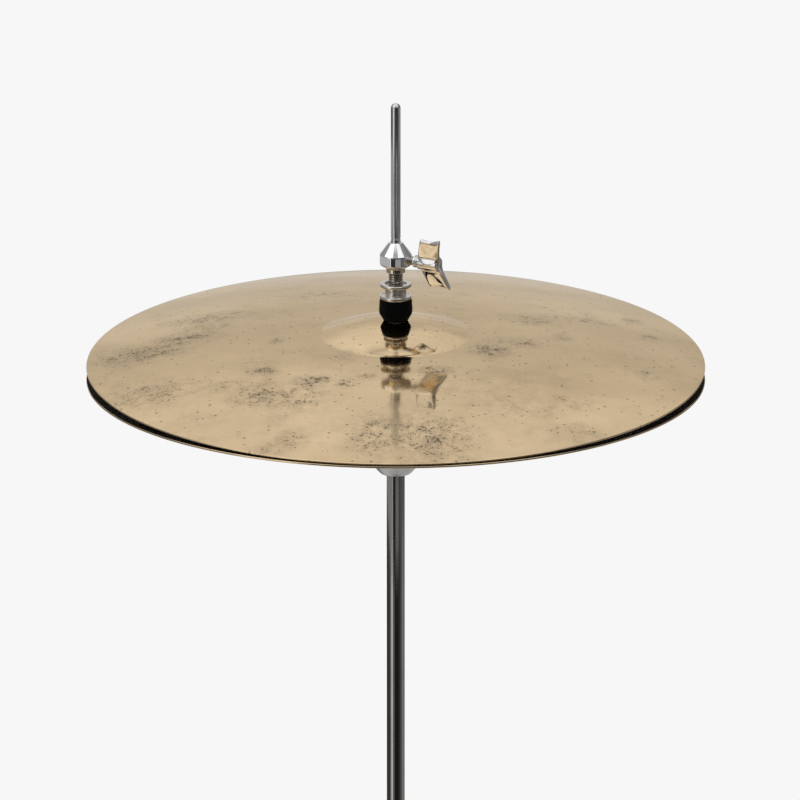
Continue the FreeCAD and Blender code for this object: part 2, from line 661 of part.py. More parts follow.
def build_hub():
    """Fixed ring with three pairs of ears; each pair holds a brace."""
    height = "dims.hub_pivot_z"
    rim = ring("hub_ring", "dims.lower_tube_radius + dims.fixed_gap", "dims.ring_radius",
               f"{height} - 10", f"{height} + 10")
    pieces = [rim]
    gaps = []
    for turn in LEG_TURNS:
        name = f"hub_{int(turn)}"
        ear = fuse(name + "_ear", [
            box(name + "_web", ("dims.ring_radius - 1.6", "-dims.ear_half", "-dims.lug_round"),
                ("dims.pivot_radius", "dims.ear_half", "dims.lug_round")),
            cylinder(name + "_end", "dims.lug_round", "-dims.ear_half", "dims.ear_half",
                     Y_AXIS, ("dims.pivot_radius", 0)),
        ])
        gap = fuse(name + "_gap", [
            box(name + "_slot", ("dims.ring_radius + 0.1", "-dims.ear_gap", -10),
                (30, "dims.ear_gap", 10)),
            cylinder(name + "_hole", "dims.rivet_radius + dims.fixed_gap", -10, 10,
                     Y_AXIS, ("dims.pivot_radius", 0)),
        ])
        for obj in (ear, gap):
            place(obj, Vector(0, 0, dim("hub_pivot_z")), turned_about_z(turn))
        pieces.append(ear)
        gaps.append(gap)
    node(cut("leg_hub", fuse("hub_solid", pieces), gaps), "leg_hub")
    rivets = []
    for turn in LEG_TURNS:
        rivet = headed_rivet(f"hub_rivet_{int(turn)}", "dims.ear_half")
        spot = turned_about_z(turn).multVec(Vector(dim("pivot_radius"), 0, dim("hub_pivot_z")))
        rivets.append(place(rivet, spot, turned_about_z(turn)))
    node(group("hub_rivets", rivets), "hub_rivets")


def headed_rivet(label, half):
    """Rivet along Y through a stack of the given half width, with a low head at each end."""
    shank = cylinder(label + "_shank", "dims.rivet_radius", f"-({half}) - 1.2", f"{half} + 1.2", Y_AXIS)
    heads = [
        cylinder(label + "_head_a", 4, f"{half} + 0.05", f"{half} + 1.5", Y_AXIS),
        cylinder(label + "_head_b", 4, f"-({half}) - 1.5", f"-({half}) - 0.05", Y_AXIS),
    ]
    return fuse(label, [shank] + heads)


def leg_top_z():
    """Height of the leg pivots on the collar with the tripod open."""
    rise = 2 * dim("brace_length") * math.cos(math.radians(dim("leg_angle")))
    return dim("hub_pivot_z") + rise


def build_collar():
    """Sliding ring with three lugs; a vertical slot in each lug takes a leg's rivet."""
    rim = ring("collar_ring", "dims.lower_tube_radius + dims.running_gap", "dims.ring_radius", -11, 17)
    pieces = [rim, cylinder("collar_boss", 6.5, -19, -12, Y_AXIS, (0, 3))]
    holes = [cylinder("collar_screw_hole", "dims.screw_radius + dims.running_gap", -30, 0, Y_AXIS, (0, 3))]
    for turn in LEG_TURNS:
        name = f"collar_{int(turn)}"
        lug = fuse(name + "_lug", [
            box(name + "_web", ("dims.ring_radius - 1.6", "-dims.lug_half", "-dims.lug_round"),
                ("dims.pivot_radius", "dims.lug_half", "dims.slot_travel + dims.lug_round")),
            box(name + "_face", ("dims.pivot_radius - 1", "-dims.lug_half", 0),
                ("dims.pivot_radius + dims.lug_round", "dims.lug_half", "dims.slot_travel")),
            cylinder(name + "_low", "dims.lug_round", "-dims.lug_half", "dims.lug_half",
                     Y_AXIS, ("dims.pivot_radius", 0)),
            cylinder(name + "_high", "dims.lug_round", "-dims.lug_half", "dims.lug_half",
                     Y_AXIS, ("dims.pivot_radius", "dims.slot_travel")),
        ])
        slot_radius = "dims.rivet_radius + 0.15"
        slot = fuse(name + "_slot", [
            cylinder(name + "_slot_low", slot_radius, -10, 10, Y_AXIS, ("dims.pivot_radius", 0)),
            cylinder(name + "_slot_high", slot_radius, -10, 10, Y_AXIS,
                     ("dims.pivot_radius", "dims.slot_travel")),
            box(name + "_slot_mid", (f"dims.pivot_radius - ({slot_radius})", -10, 0),
                (f"dims.pivot_radius + {slot_radius}", 10, "dims.slot_travel")),
        ])
        place(lug, Vector(), turned_about_z(turn))
        place(slot, Vector(), turned_about_z(turn))
        pieces.append(lug)
        holes.append(slot)
    collar = cut("leg_collar", fuse("collar_solid", pieces), holes + [
        cylinder("collar_bore", "dims.lower_tube_radius + dims.running_gap", -20, 30)])
    place(node(collar, "leg_collar"), Vector(0, 0, leg_top_z()))
    joined_wing_bolt("collar_wing_bolt", "dims.lower_tube_radius + 0.1", 6.0,
                     Vector(0, 0, leg_top_z() + 3), turned_about_z(-90))


def build_leg(index, turn):
    outward = turned_about_z(turn)
    tangent = outward.multVec(Y_AXIS)
    lean = math.radians(dim("leg_angle"))
    down = outward.multVec(Vector(math.sin(lean), 0, -math.cos(lean)))
    upper = outward.multVec(Vector(dim("pivot_radius"), 0, leg_top_z()))
    frame = Rotation(down.cross(tangent), tangent * -1, down)
    name = f"leg_{index}"

    # channel: pivot at the local origin, running along +Z, open towards -X
    sides = fuse(name + "_sides", [
        box(name + "_block", ("-dims.lug_round", "-dims.channel_half", 0),
            ("dims.lug_round", "dims.channel_half", "dims.leg_length")),
        box(name + "_spine", (0, "-dims.channel_half", 14),
            ("dims.channel_back", "dims.channel_half", "dims.leg_length")),
        cylinder(name + "_end", "dims.lug_round", "-dims.channel_half", "dims.channel_half", Y_AXIS),
    ])
    hollow = box(name + "_hollow", (-20, "-dims.channel_gap", -20),
                 ("dims.channel_floor", "dims.channel_gap", "dims.leg_length + 1"))
    holes = [cylinder(f"{name}_hole_{i}", "dims.rivet_radius + dims.fixed_gap", -20, 20, Y_AXIS, (0, at))
             for i, at in enumerate((0, "dims.brace_length"))]
    place(node(cut(name, sides, [hollow] + holes), name), upper, frame)

    # rubber boot on the end, cut flat by the floor
    end = dim("leg_length")
    boot = box(name + "_boot", ("-dims.boot_half", "-dims.boot_half", f"{end} - dims.boot_cover"),
               ("dims.boot_back", "dims.boot_half", end + 15))
    recess = box(name + "_recess", ("-dims.lug_round - 0.05", "-dims.channel_half - 0.05", end - 40),
                 ("dims.channel_back + 0.05", "dims.channel_half + 0.05", end + 0.05))
    for obj in (boot, recess):
        place(obj, upper, frame)
    floor = box(name + "_floor", (-500, -500, -100), (500, 500, 0))
    node(cut(f"foot_{index}", boot, [recess, floor]), f"foot_{index}")

    # rivets through collar lug and brace
    rivets = []
    for i, at in enumerate((0.0, dim("brace_length"))):
        rivet = headed_rivet(f"{name}_rivet_{i}", "dims.channel_half")
        rivets.append(place(rivet, upper + down * at, frame))
    node(group(f"leg_rivets_{index}", rivets), f"leg_rivets_{index}")

    # brace from the hub up to the leg
    low = outward.multVec(Vector(dim("pivot_radius"), 0, dim("hub_pivot_z")))
    along = outward.multVec(Vector(math.sin(lean), 0, math.cos(lean)))
    bar = fuse(f"brace_{index}_bar", [
        box(f"brace_{index}_flat", ("-dims.brace_round", "-dims.brace_half", 0),
            ("dims.brace_round", "dims.brace_half", "dims.brace_length")),
        cylinder(f"brace_{index}_low", "dims.brace_round", "-dims.brace_half", "dims.brace_half", Y_AXIS),
        cylinder(f"brace_{index}_high", "dims.brace_round", "-dims.brace_half", "dims.brace_half",
                 Y_AXIS, (0, "dims.brace_length")),
    ])
    holes = [cylinder(f"brace_{index}_hole_{i}", "dims.rivet_radius + dims.running_gap", -10, 10,
                      Y_AXIS, (0, at)) for i, at in enumerate((0, "dims.brace_length"))]
    brace = node(cut(f"brace_{index}", bar, holes), f"brace_{index}")
    place(brace, low, Rotation(tangent.cross(along), tangent, along))


# ---------------------------------------------------------------- base frame and pedal

BAR_SIDES = ("-dims.bar_x", "dims.bar_x")


def both_sides(inner, outer):
    """The same span to the right and to the left of the middle."""
    return (inner, outer), (f"-{outer}", f"-{inner}")


def build_base():
    pad_top = "dims.pad_height"
    node(box("base_pad", ("-dims.arm_outer", "-dims.arm_depth", 0),
             ("dims.arm_outer", "dims.arm_depth", pad_top)), "base_pad")
    bar = box("frame_bar", ("-dims.arm_outer", "-dims.arm_depth", pad_top),
              ("dims.arm_outer", "dims.arm_depth", "dims.foot_bar_top_z"))
    bridge = box("frame_bridge", ("-dims.arm_outer", "-dims.arm_depth", "dims.bridge_low_z"),
                 ("dims.arm_outer", "dims.arm_depth", "dims.lower_tube_low_z"))
    arms = [box(f"frame_arm_{i}", (low, "-dims.arm_depth", pad_top),
                (high, "dims.arm_depth", "dims.lower_tube_low_z"))
            for i, (low, high) in enumerate(both_sides("dims.arm_inner", "dims.arm_outer"))]
    socket = cylinder("frame_socket", "dims.socket_radius", "dims.bridge_low_z", "dims.socket_top_z")
    solid = fuse("frame_solid", [bar, bridge, socket] + arms)
    cuts = [
        cylinder("frame_bore", "dims.lower_tube_radius + dims.fixed_gap", "dims.lower_tube_low_z",
                 "dims.socket_top_z + 1"),
        cylinder("frame_throat", "dims.throat_radius", "dims.bridge_low_z - 12", "dims.socket_top_z"),
    ]
    cuts += [cylinder(f"frame_rod_hole_{i}", "dims.bar_radius + dims.fixed_gap", "-dims.arm_depth - 8",
                      "dims.bar_depth + 0.1", Y_AXIS, (x, "dims.bar_z"))
             for i, x in enumerate(BAR_SIDES)]
    node(cut("base_frame", solid, cuts), "base_frame")
    dial = ring("tension_dial", "dims.lower_tube_radius + dims.running_gap", "dims.socket_radius",
                "dims.socket_top_z + dims.dial_rise", "dims.socket_top_z + dims.dial_rise + dims.dial_height")
    node(dial, "tension_dial")
    rods = [cylinder(f"radius_rod_{i}", "dims.bar_radius", "dims.bar_end_y", "dims.bar_depth", Y_AXIS,
                     (x, "dims.bar_z"))
            for i, x in enumerate(BAR_SIDES)]
    node(group("radius_rods", rods), "radius_rods")


def build_heel():
    pad_edge = 2.0
    node(box("heel_rubber", (f"-dims.heel_half + {pad_edge}", f"dims.heel_back_y + {pad_edge}", 0),
             (f"dims.heel_half - {pad_edge}", f"dims.heel_front_y - {pad_edge}", "dims.pad_height")),
         "heel_rubber")
    right = [
        ("dims.heel_half - dims.heel_corner", "dims.heel_back_y"),
        ("dims.heel_half", "dims.heel_back_y + dims.heel_corner"),
        ("dims.heel_half", "dims.heel_front_y"),
    ]
    left = [(f"-({x})", y) for x, y in reversed(right)]
    base = plate("heel_base", right + left, "dims.heel_thick")
    base.setExpression("Placement.Base.z", "dims.pad_height + dims.heel_thick / 2")
    pieces = [base]
    lugs = both_sides("(dims.heel_half - dims.heel_lug)", "dims.heel_half")
    for i, (low, high) in enumerate(lugs):
        pieces.append(box(f"heel_lug_{i}", (low, "dims.heel_y - dims.heel_eye", "dims.pad_height"),
                          (high, "dims.heel_y + dims.heel_eye", "dims.heel_z")))
        pieces.append(cylinder(f"heel_eye_{i}", "dims.heel_eye", low, high, X_AXIS,
                               ("dims.heel_y", "dims.heel_z")))
    cuts = [cylinder("heel_pin_hole", "dims.heel_pin_radius + dims.fixed_gap", "-dims.heel_half - 2",
                     "dims.heel_half + 2", X_AXIS, ("dims.heel_y", "dims.heel_z"))]
    cuts += [cylinder(f"heel_rod_hole_{i}", "dims.bar_radius + dims.fixed_gap", "dims.bar_end_y - 0.1",
                      "dims.heel_front_y + 15", Y_AXIS, (x, "dims.bar_z"))
             for i, x in enumerate(BAR_SIDES)]
    node(cut("heel_plate", fuse("heel_solid", pieces), cuts), "heel_plate")
    node(cylinder("heel_pin", "dims.heel_pin_radius", "-dims.heel_half - 1", "dims.heel_half + 1", X_AXIS,
                  ("dims.heel_y", "dims.heel_z")), "heel_pin")


def build_pedal():
    """Footboard and its fittings, set out along local Y from the heel hinge, then raised to the toe."""
    reach = math.hypot(dim("heel_y"), dim("toe_z") - dim("heel_z"))
    slope = math.degrees(math.atan2(dim("toe_z") - dim("heel_z"), -dim("heel_y")))
    hinge = Vector(0, dim("heel_y"), dim("heel_z"))
    rotation = Rotation(X_AXIS, slope)

    half = ["dims.board_toe", "dims.board_wide", "dims.board_wide", "dims.board_heel"]
    along = [226, 165, 70, 8]
    right = list(zip(half, along))
    left = [(f"-({x})", y) for x, y in reversed(right)]
    board = plate("board_plate", right + left, "dims.board_thick")
    board.setExpression("Placement.Base.z", "dims.board_lift + dims.board_thick / 2")
    inside_board = "dims.board_lift + 0.5"
    pieces = [board]
    for i, (low, high) in enumerate(both_sides("dims.knuckle_inner", "dims.knuckle_outer")):
        pieces.append(cylinder(f"board_knuckle_{i}", "dims.knuckle_radius", low, high, X_AXIS))
        pieces.append(box(f"board_web_{i}", (low, 0, 0), (high, "dims.rib_start", inside_board)))
    ribs = both_sides("(dims.rib_x - dims.rib_half)", "(dims.rib_x + dims.rib_half)")
    for i, (low, high) in enumerate(ribs):
        pieces.append(box(f"board_rib_{i}", (low, "dims.rib_start", "-dims.rib_depth"),
                          (high, "dims.rib_end", inside_board)))
    bore = cylinder("board_bore", "dims.heel_pin_radius + dims.running_gap", "-dims.heel_half - 2",
                    "dims.heel_half + 2", X_AXIS)
    place(node(cut("footboard", fuse("board_solid", pieces), [bore]), "footboard"), hinge, rotation)

    board_top = "dims.board_lift + dims.board_thick"
    first_strip, last_strip, strip_step = 60, 190, 24
    strips = [box(f"tread_{i}", ("-dims.tread_half", start, f"{board_top} + 0.02"),
                  ("dims.tread_half", f"{start} + dims.tread_depth", f"{board_top} + dims.tread_rise"))
              for i, start in enumerate(range(first_strip, last_strip, strip_step))]
    place(node(group("tread_pads", strips), "tread_pads"), hinge, rotation)

    under_board = "dims.board_lift - 0.02"
    cheeks = [box(f"toe_cheek_{i}", (low, "dims.saddle_start + 6", "-dims.lug_round"),
                  (high, f"{reach} + dims.lug_round", under_board))
              for i, (low, high) in enumerate(both_sides("dims.cheek_inner", "dims.cheek_outer"))]
    saddle = box("toe_saddle", ("-dims.saddle_half", "dims.saddle_start", -2),
                 ("dims.saddle_half", "dims.saddle_end", under_board))
    pin_hole = cylinder("toe_pin_hole", "dims.rivet_radius + dims.fixed_gap", -10, 10, X_AXIS, (reach, 0))
    bracket = cut("toe_bracket", fuse("toe_solid", cheeks + [saddle]), [pin_hole])
    place(node(bracket, "toe_bracket"), hinge, rotation)
    toe_pin = cylinder("toe_pin", "dims.rivet_radius", "-dims.cheek_outer - 1.1", "dims.cheek_outer + 1.1",
                       X_AXIS, (0, "dims.toe_z"))
    node(toe_pin, "toe_pin")
    build_link()


def build_link():
    """Flat bar between the fork of the pull rod and the toe pin."""
    low, high = (0, "dims.toe_z"), (0, "dims.fork_z")
    bar = fuse("link_solid", [
        box("link_bar", ("-dims.link_half", "-dims.link_round", "dims.toe_z"),
            ("dims.link_half", "dims.link_round", "dims.fork_z")),
        cylinder("link_low", "dims.link_round", "-dims.link_half", "dims.link_half", X_AXIS, low),
        cylinder("link_high", "dims.link_round", "-dims.link_half", "dims.link_half", X_AXIS, high),
    ])
    holes = [
        cylinder("link_low_hole", "dims.rivet_radius + dims.link_play", -5, 5, X_AXIS, low),
        cylinder("link_high_hole", "dims.rivet_radius + dims.running_gap", -5, 5, X_AXIS, high),
    ]
    node(cut("pull_link", bar, holes), "pull_link")


# ---------------------------------------------------------------- build and write

def check(objects):
    for obj in objects:
        if "Invalid" in obj.State or "Error" in obj.State:
            raise RuntimeError(f"{obj.Label} failed: {obj.State}")


build_cymbals()
build_clutch()
build_clutch_wing()
build_column()
build_pull_rod()
build_hub()
build_collar()
for index, turn in enumerate(LEG_TURNS, start=1):
    build_leg(index, turn)
build_base()
build_heel()
build_pedal()

DOC.recompute()
check(DOC.Objects)
for piece in NODES:
    if piece.Shape.isNull() or not piece.Shape.isValid():
        raise RuntimeError(f"{piece.Label} has no valid shape")

os.makedirs("parts", exist_ok=True)
for piece in NODES:
    piece.Shape.exportStep(f"parts/{piece.Label}.step")
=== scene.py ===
import json
import math

import bmesh
import bpy
import numpy as np
from mathutils import Matrix, Vector


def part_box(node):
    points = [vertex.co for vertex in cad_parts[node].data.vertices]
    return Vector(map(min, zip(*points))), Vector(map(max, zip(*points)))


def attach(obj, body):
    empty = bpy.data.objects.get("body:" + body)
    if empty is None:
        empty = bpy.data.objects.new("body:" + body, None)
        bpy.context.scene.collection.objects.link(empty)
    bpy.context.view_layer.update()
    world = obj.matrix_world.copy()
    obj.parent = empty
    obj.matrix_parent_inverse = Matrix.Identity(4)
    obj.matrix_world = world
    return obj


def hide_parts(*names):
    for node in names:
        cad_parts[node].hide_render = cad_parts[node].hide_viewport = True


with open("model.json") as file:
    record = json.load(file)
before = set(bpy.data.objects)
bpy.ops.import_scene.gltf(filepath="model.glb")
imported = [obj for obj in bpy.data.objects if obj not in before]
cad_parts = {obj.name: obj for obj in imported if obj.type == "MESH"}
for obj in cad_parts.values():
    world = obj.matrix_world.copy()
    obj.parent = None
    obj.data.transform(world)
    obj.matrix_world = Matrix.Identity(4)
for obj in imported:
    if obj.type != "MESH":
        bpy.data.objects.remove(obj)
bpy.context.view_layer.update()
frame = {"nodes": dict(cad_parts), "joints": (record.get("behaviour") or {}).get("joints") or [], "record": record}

# A pedal hi-hat. Everything is in metres, in the frame's own axes: +Z up, the pedal towards -Y.

MM = 0.001
JOINTS = {joint["name"]: joint for joint in frame["joints"]}
BODY_OF = {node: body for body, nodes in frame["record"]["behaviour"]["bodies"].items() for node in nodes}
SLOT_OF = {entry["node"]: entry["material_slot"] for entry in frame["record"]["subparts"]}


# ---------------------------------------------------------------- node materials

class Nodes:
    """Shorthand for filling a node tree; self.where is the default coordinate of its patterns."""

    def __init__(self, tree, coordinate):
        self.tree = tree
        self.tree.nodes.clear()
        self.where = self.node("TexCoord").outputs[coordinate]

    def node(self, kind, **settings):
        node = self.tree.nodes.new("ShaderNode" + kind)
        for key, value in settings.items():
            setattr(node, key, value)
        return node

    def feed(self, socket, value):
        """Links a socket into an input, or sets a plain value; None leaves it alone."""
        if isinstance(value, bpy.types.NodeSocket):
            self.tree.links.new(value, socket)
        elif value is not None:
            socket.default_value = value

    def noise(self, scale, detail=3.0, rough=0.5, where=None, distortion=0.0):
        node = self.node("TexNoise")
        self.feed(node.inputs["Vector"], where or self.where)
        for name, value in (("Scale", scale), ("Detail", detail), ("Roughness", rough),
                            ("Distortion", distortion)):
            node.inputs[name].default_value = value
        return node.outputs["Fac"]

    def stretched(self, scale):
        """The default coordinate scaled by a different amount along each axis."""
        node = self.node("Mapping")
        self.feed(node.inputs["Vector"], self.where)
        node.inputs["Scale"].default_value = scale
        return node.outputs["Vector"]

    def ramp(self, value, low, high, start=0.0, end=1.0):
        """Smooth change from start to end while value goes from low to high."""
        node = self.node("MapRange", interpolation_type="SMOOTHSTEP")
        for name, item in (("Value", value), ("From Min", low), ("From Max", high),
                           ("To Min", start), ("To Max", end)):
            self.feed(node.inputs[name], item)
        return node.outputs["Result"]

    def calc(self, operation, first, second=None):
        node = self.node("Math", operation=operation)
        self.feed(node.inputs[0], first)
        self.feed(node.inputs[1], second)
        return node.outputs[0]

    def blend(self, amount, first, second):
        """Colour between first (amount 0) and second (amount 1)."""
        node = self.node("Mix", data_type="RGBA")
        self.feed(node.inputs["Factor"], amount)
        for socket, value in ((node.inputs["A"], first), (node.inputs["B"], second)):
            target = [s for s in node.inputs if s.name == socket.name and s.type == "RGBA"][0]
            self.feed(target, (*value, 1.0) if isinstance(value, tuple) else value)
        return [s for s in node.outputs if s.type == "RGBA"][0]

    def vector(self, operation, first, second=None):
        """First output of a vector operation on a socket and, when given, a plain vector."""
        node = self.node("VectorMath", operation=operation)
        self.feed(node.inputs[0], first)
        if second is not None:
            node.inputs[1].default_value = second
        return node.outputs["Value" if operation == "LENGTH" else "Vector"]

    def axis_distance(self):
        """Distance from the column's axis."""
        return self.vector("LENGTH", self.vector("MULTIPLY", self.where, (1, 1, 0)))

    def spot(self, centre, size):
        """1 at the centre of an oval patch, 0 at its edge."""
        offset = self.vector("SUBTRACT", self.where, centre)
        share = self.vector("LENGTH", self.vector("DIVIDE", offset, size))
        return self.ramp(share, 0.0, 1.0, 1.0, 0.0)


class Shader(Nodes):
    """A node material being put together round one principled surface."""

    def __init__(self, name, color=(0.8, 0.8, 0.8), metallic=0.0, roughness=0.5):
        self.material = bpy.data.materials.new(name)
        self.material.use_nodes = True
        super().__init__(self.material.node_tree, "Object")
        self.output = self.node("OutputMaterial")
        self.surface = self.node("BsdfPrincipled")
        self.show(self.surface.outputs["BSDF"])
        self.normal = None
        self.put("Base Color", (*color, 1.0))
        self.put("Metallic", metallic)
        self.put("Roughness", roughness)

    def show(self, surface):
        self.tree.links.new(surface, self.output.inputs["Surface"])

    def put(self, name, value):
        self.feed(self.surface.inputs[name], value)

    def bump(self, height, distance):
        """Adds a bump of the given depth in metres on top of the ones before it."""
        node = self.node("Bump")
        self.feed(node.inputs["Height"], height)
        node.inputs["Distance"].default_value = distance
        node.inputs["Strength"].default_value = 1.0
        self.feed(node.inputs["Normal"], self.normal)
        self.normal = node.outputs["Normal"]
        self.put("Normal", self.normal)


def metal(name, color, roughness, grain=0.02, smudges=0.3):
    """Polished or satin metal with faint smudges and fine grain; grain is in hundredths of a millimetre."""
    shader = Shader(name, color, 1.0, roughness)
    smudge = shader.noise(38.0, 4.0, 0.6)
    fine = shader.noise(900.0, 2.0)
    rough = shader.calc("ADD", shader.ramp(smudge, 0.3, 0.8, roughness, roughness * (1 + smudges) + 0.01),
                        shader.ramp(fine, 0.4, 0.9, 0.0, roughness * 0.4))
    shader.put("Roughness", rough)
    dull = tuple(c * 0.88 for c in color)
    shader.put("Base Color", shader.blend(shader.ramp(smudge, 0.45, 0.75), color, dull))
    shader.bump(fine, grain * 0.01 * MM)
    return shader


def drawn_metal(name, color, roughness):
    """Rod or tube with fine lines round it."""
    shader = metal(name, color, roughness)
    lines = shader.noise(1.0, 2.0, 0.6, shader.stretched((20.0, 20.0, 6000.0)))
    shader.bump(lines, 0.0003 * MM)
    return shader


def rubber(name, color):
    shader = Shader(name, color, 0.0, 0.62)
    cloud = shader.noise(60.0, 4.0)
    shader.put("Roughness", shader.ramp(cloud, 0.3, 0.7, 0.52, 0.75))
    dusty = tuple(c + 0.035 for c in color)
    shader.put("Base Color", shader.blend(shader.ramp(cloud, 0.5, 0.8), color, dusty))
    shader.bump(shader.noise(1400.0, 3.0), 0.03 * MM)
    return shader


def felt(name, color, light, sheen):
    shader = Shader(name, color, 0.0, 0.95)
    fibres = shader.noise(700.0, 6.0, 0.75, shader.stretched((1.0, 1.0, 2.2)), 1.5)
    tufts = shader.noise(190.0, 4.0, 0.6)
    shader.put("Base Color", shader.blend(shader.ramp(fibres, 0.4, 0.75), color, light))
    shader.put("Sheen Weight", sheen)
    shader.put("Specular IOR Level", sheen)
    shader.put("Sheen Roughness", 0.5)
    shader.bump(tufts, 0.35 * MM)
    shader.bump(fibres, 0.18 * MM)
    return shader


def plastic(name, color, roughness=0.38):
    shader = Shader(name, color, 0.0, roughness)
    shader.put("Roughness", shader.ramp(shader.noise(50.0, 3.0), 0.3, 0.7, roughness, roughness + 0.12))
    shader.bump(shader.noise(1800.0, 2.0), 0.012 * MM)
    return shader


def cast_metal(name, color):
    shader = Shader(name, color, 1.0, 0.42)
    skin = shader.noise(850.0, 5.0, 0.65)
    cloud = shader.noise(24.0, 4.0)
    shader.put("Roughness", shader.ramp(cloud, 0.3, 0.7, 0.34, 0.50))
    dull = tuple(c * 0.8 for c in color)
    shader.put("Base Color", shader.blend(shader.ramp(cloud, 0.35, 0.75), color, dull))
    shader.bump(skin, 0.05 * MM)
    return shader


# ---------------------------------------------------------------- pieces

def add_piece(name, mesh, shader, body, slot, *replaced):
    piece = bpy.data.objects.new(name, mesh)
    bpy.context.scene.collection.objects.link(piece)
    mesh.materials.clear()
    mesh.materials.append(shader.material)
    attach(piece, body)
    if replaced:
        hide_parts(*replaced)
    return piece


def smooth(mesh, angle=35.0):
    """Smooth shading with sharp edges kept where faces meet at more than the angle."""
    work = bmesh.new()
    work.from_mesh(mesh)
    limit = math.radians(angle)
    for face in work.faces:
        face.smooth = True
    for edge in work.edges:
        edge.smooth = len(edge.link_faces) == 2 and edge.calc_face_angle(0.0) < limit
    work.to_mesh(mesh)
    work.free()
    return mesh


def bake(piece):
    """Replaces a piece's mesh by the result of its modifiers."""
    graph = bpy.context.evaluated_depsgraph_get()
    graph.update()
    mesh = bpy.data.meshes.new_from_object(piece.evaluated_get(graph))
    piece.modifiers.clear()
    piece.data = mesh


def clean_copy(node):
    """A CAD node's mesh with its triangles joined into whole faces."""
    work = bmesh.new()
    work.from_mesh(frame["nodes"][node].data)
    bmesh.ops.remove_doubles(work, verts=work.verts, dist=0.002 * MM)
    bmesh.ops.dissolve_degenerate(work, dist=0.001 * MM, edges=work.edges)
    bmesh.ops.dissolve_limit(work, angle_limit=math.radians(0.6), verts=work.verts, edges=work.edges)
    mesh = bpy.data.meshes.new(node + "_shape")
    work.to_mesh(mesh)
    work.free()
    return mesh


def dressed(node, shader, bevel):
    """A CAD node's own shape with its edges rounded, standing for the node."""
    piece = add_piece(node + "_look", clean_copy(node), shader, BODY_OF[node], SLOT_OF[node], node)
    rounding = piece.modifiers.new("rounding", "BEVEL")
    rounding.width = bevel * MM
    rounding.segments = 3
    rounding.limit_method = "ANGLE"
    rounding.angle_limit = math.radians(30.0)
    rounding.harden_normals = False
    rounding.use_clamp_overlap = True
    bake(piece)
    smooth(piece.data, 38.0)


def grid_mesh(name, points, close_rows, close_columns):
    """Mesh from a rows x columns x 3 array of points, joined up along closed directions."""
    rows, columns = points.shape[:2]
    row_steps = rows if close_rows else rows - 1
    column_steps = columns if close_columns else columns - 1
    i, j = np.meshgrid(np.arange(row_steps), np.arange(column_steps), indexing="ij")
    following_row, following_column = (i + 1) % rows, (j + 1) % columns
    corners = [i * columns + j, i * columns + following_column,
               following_row * columns + following_column, following_row * columns + j]
    faces = np.stack(corners, -1).reshape(-1, 4)
    mesh = bpy.data.meshes.new(name)
    mesh.from_pydata(points.reshape(-1, 3).tolist(), [], faces.tolist())
    mesh.validate()
    mesh.update()
    return mesh


def face_outwards(mesh):
    """Welds doubled points and turns every face to look out of the solid."""
    work = bmesh.new()
    work.from_mesh(mesh)
    bmesh.ops.remove_doubles(work, verts=work.verts, dist=0.0005 * MM)
    bmesh.ops.recalc_face_normals(work, faces=work.faces)
    work.to_mesh(mesh)
    work.free()
    return mesh


def rounded_profile(corners, radius, steps=4):
    """Closed outline in mm, each corner cut by a curve starting radius away, or its own third number."""
    points = []
    count = len(corners)
    for k, corner in enumerate(corners):
        here = np.array(corner[:2], float)
        before = np.array(corners[k - 1][:2], float) - here
        after = np.array(corners[(k + 1) % count][:2], float) - here
        reach = corner[2] if len(corner) > 2 else radius
        reach = min(reach, 0.45 * np.linalg.norm(before), 0.45 * np.linalg.norm(after))
        if reach < 0.01:
            points.append(here)
            continue
        start = here + before / np.linalg.norm(before) * reach
        end = here + after / np.linalg.norm(after) * reach
        for step in range(steps + 1):
            t = step / steps
            points.append((1 - t) ** 2 * start + 2 * t * (1 - t) * here + t * t * end)
    return np.array(points)


def lathe(name, outline, segments=96, wave=None):
    """Turned solid from a closed outline of (radius, height) in mm; wave may change both round the turn."""
    turn = np.linspace(0, 2 * math.pi, segments, endpoint=False)
    radius, turns = np.meshgrid(outline[:, 0], turn, indexing="ij")
    height = np.repeat(outline[:, 1][:, None], segments, 1)
    if wave is not None:
        radius, height = wave(radius, height, turns)
    points = np.stack([radius * np.cos(turns) * MM, radius * np.sin(turns) * MM, height * MM], -1)
    return smooth(face_outwards(grid_mesh(name, points, True, True)))


# ---------------------------------------------------------------- cymbals

SHEET_MM = {"top_cymbal": 1.0, "bottom_cymbal": 1.2}
HAMMER_SEED = {"top_cymbal": 11, "bottom_cymbal": 23}
HOLE_MM = 6.0
CROWN_MM = 0.1             # height of the bell's middle over the edge of its hole, about
BELL_CURVE_MM = 128.0      # radius of the bell's curve
BELL_EDGE_MM = 49.0        # where the bell's curve meets the bow's
BELL_FLARE_MM = (44, 56)   # zone of the flare between them, meshed more finely
BOW_START_SLOPE = 0.029
WARP_MM = 0.10             # waviness of the rim
CYMBAL_SEGMENTS = 480

BLOW_RING_STEP_MM = 11.5
BLOW_SPACING_MM = 17.0
BLOW_SCATTER_MM = 4.5
BLOW_SIZE_MM = (4.4, 8.0)
BLOW_DEPTH_MM = (0.020, 0.070)
BLOW_SKIPPED = 0.18        # share of the blows left out


def cymbal_sizes():
    """Radius and rise of both cymbals in mm, read from the level one."""
    low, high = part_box("bottom_cymbal")
    radius = (high.x - low.x) / 2 / MM
    rise = (high.z - low.z) / MM - SHEET_MM["bottom_cymbal"] + CROWN_MM
    return radius, rise


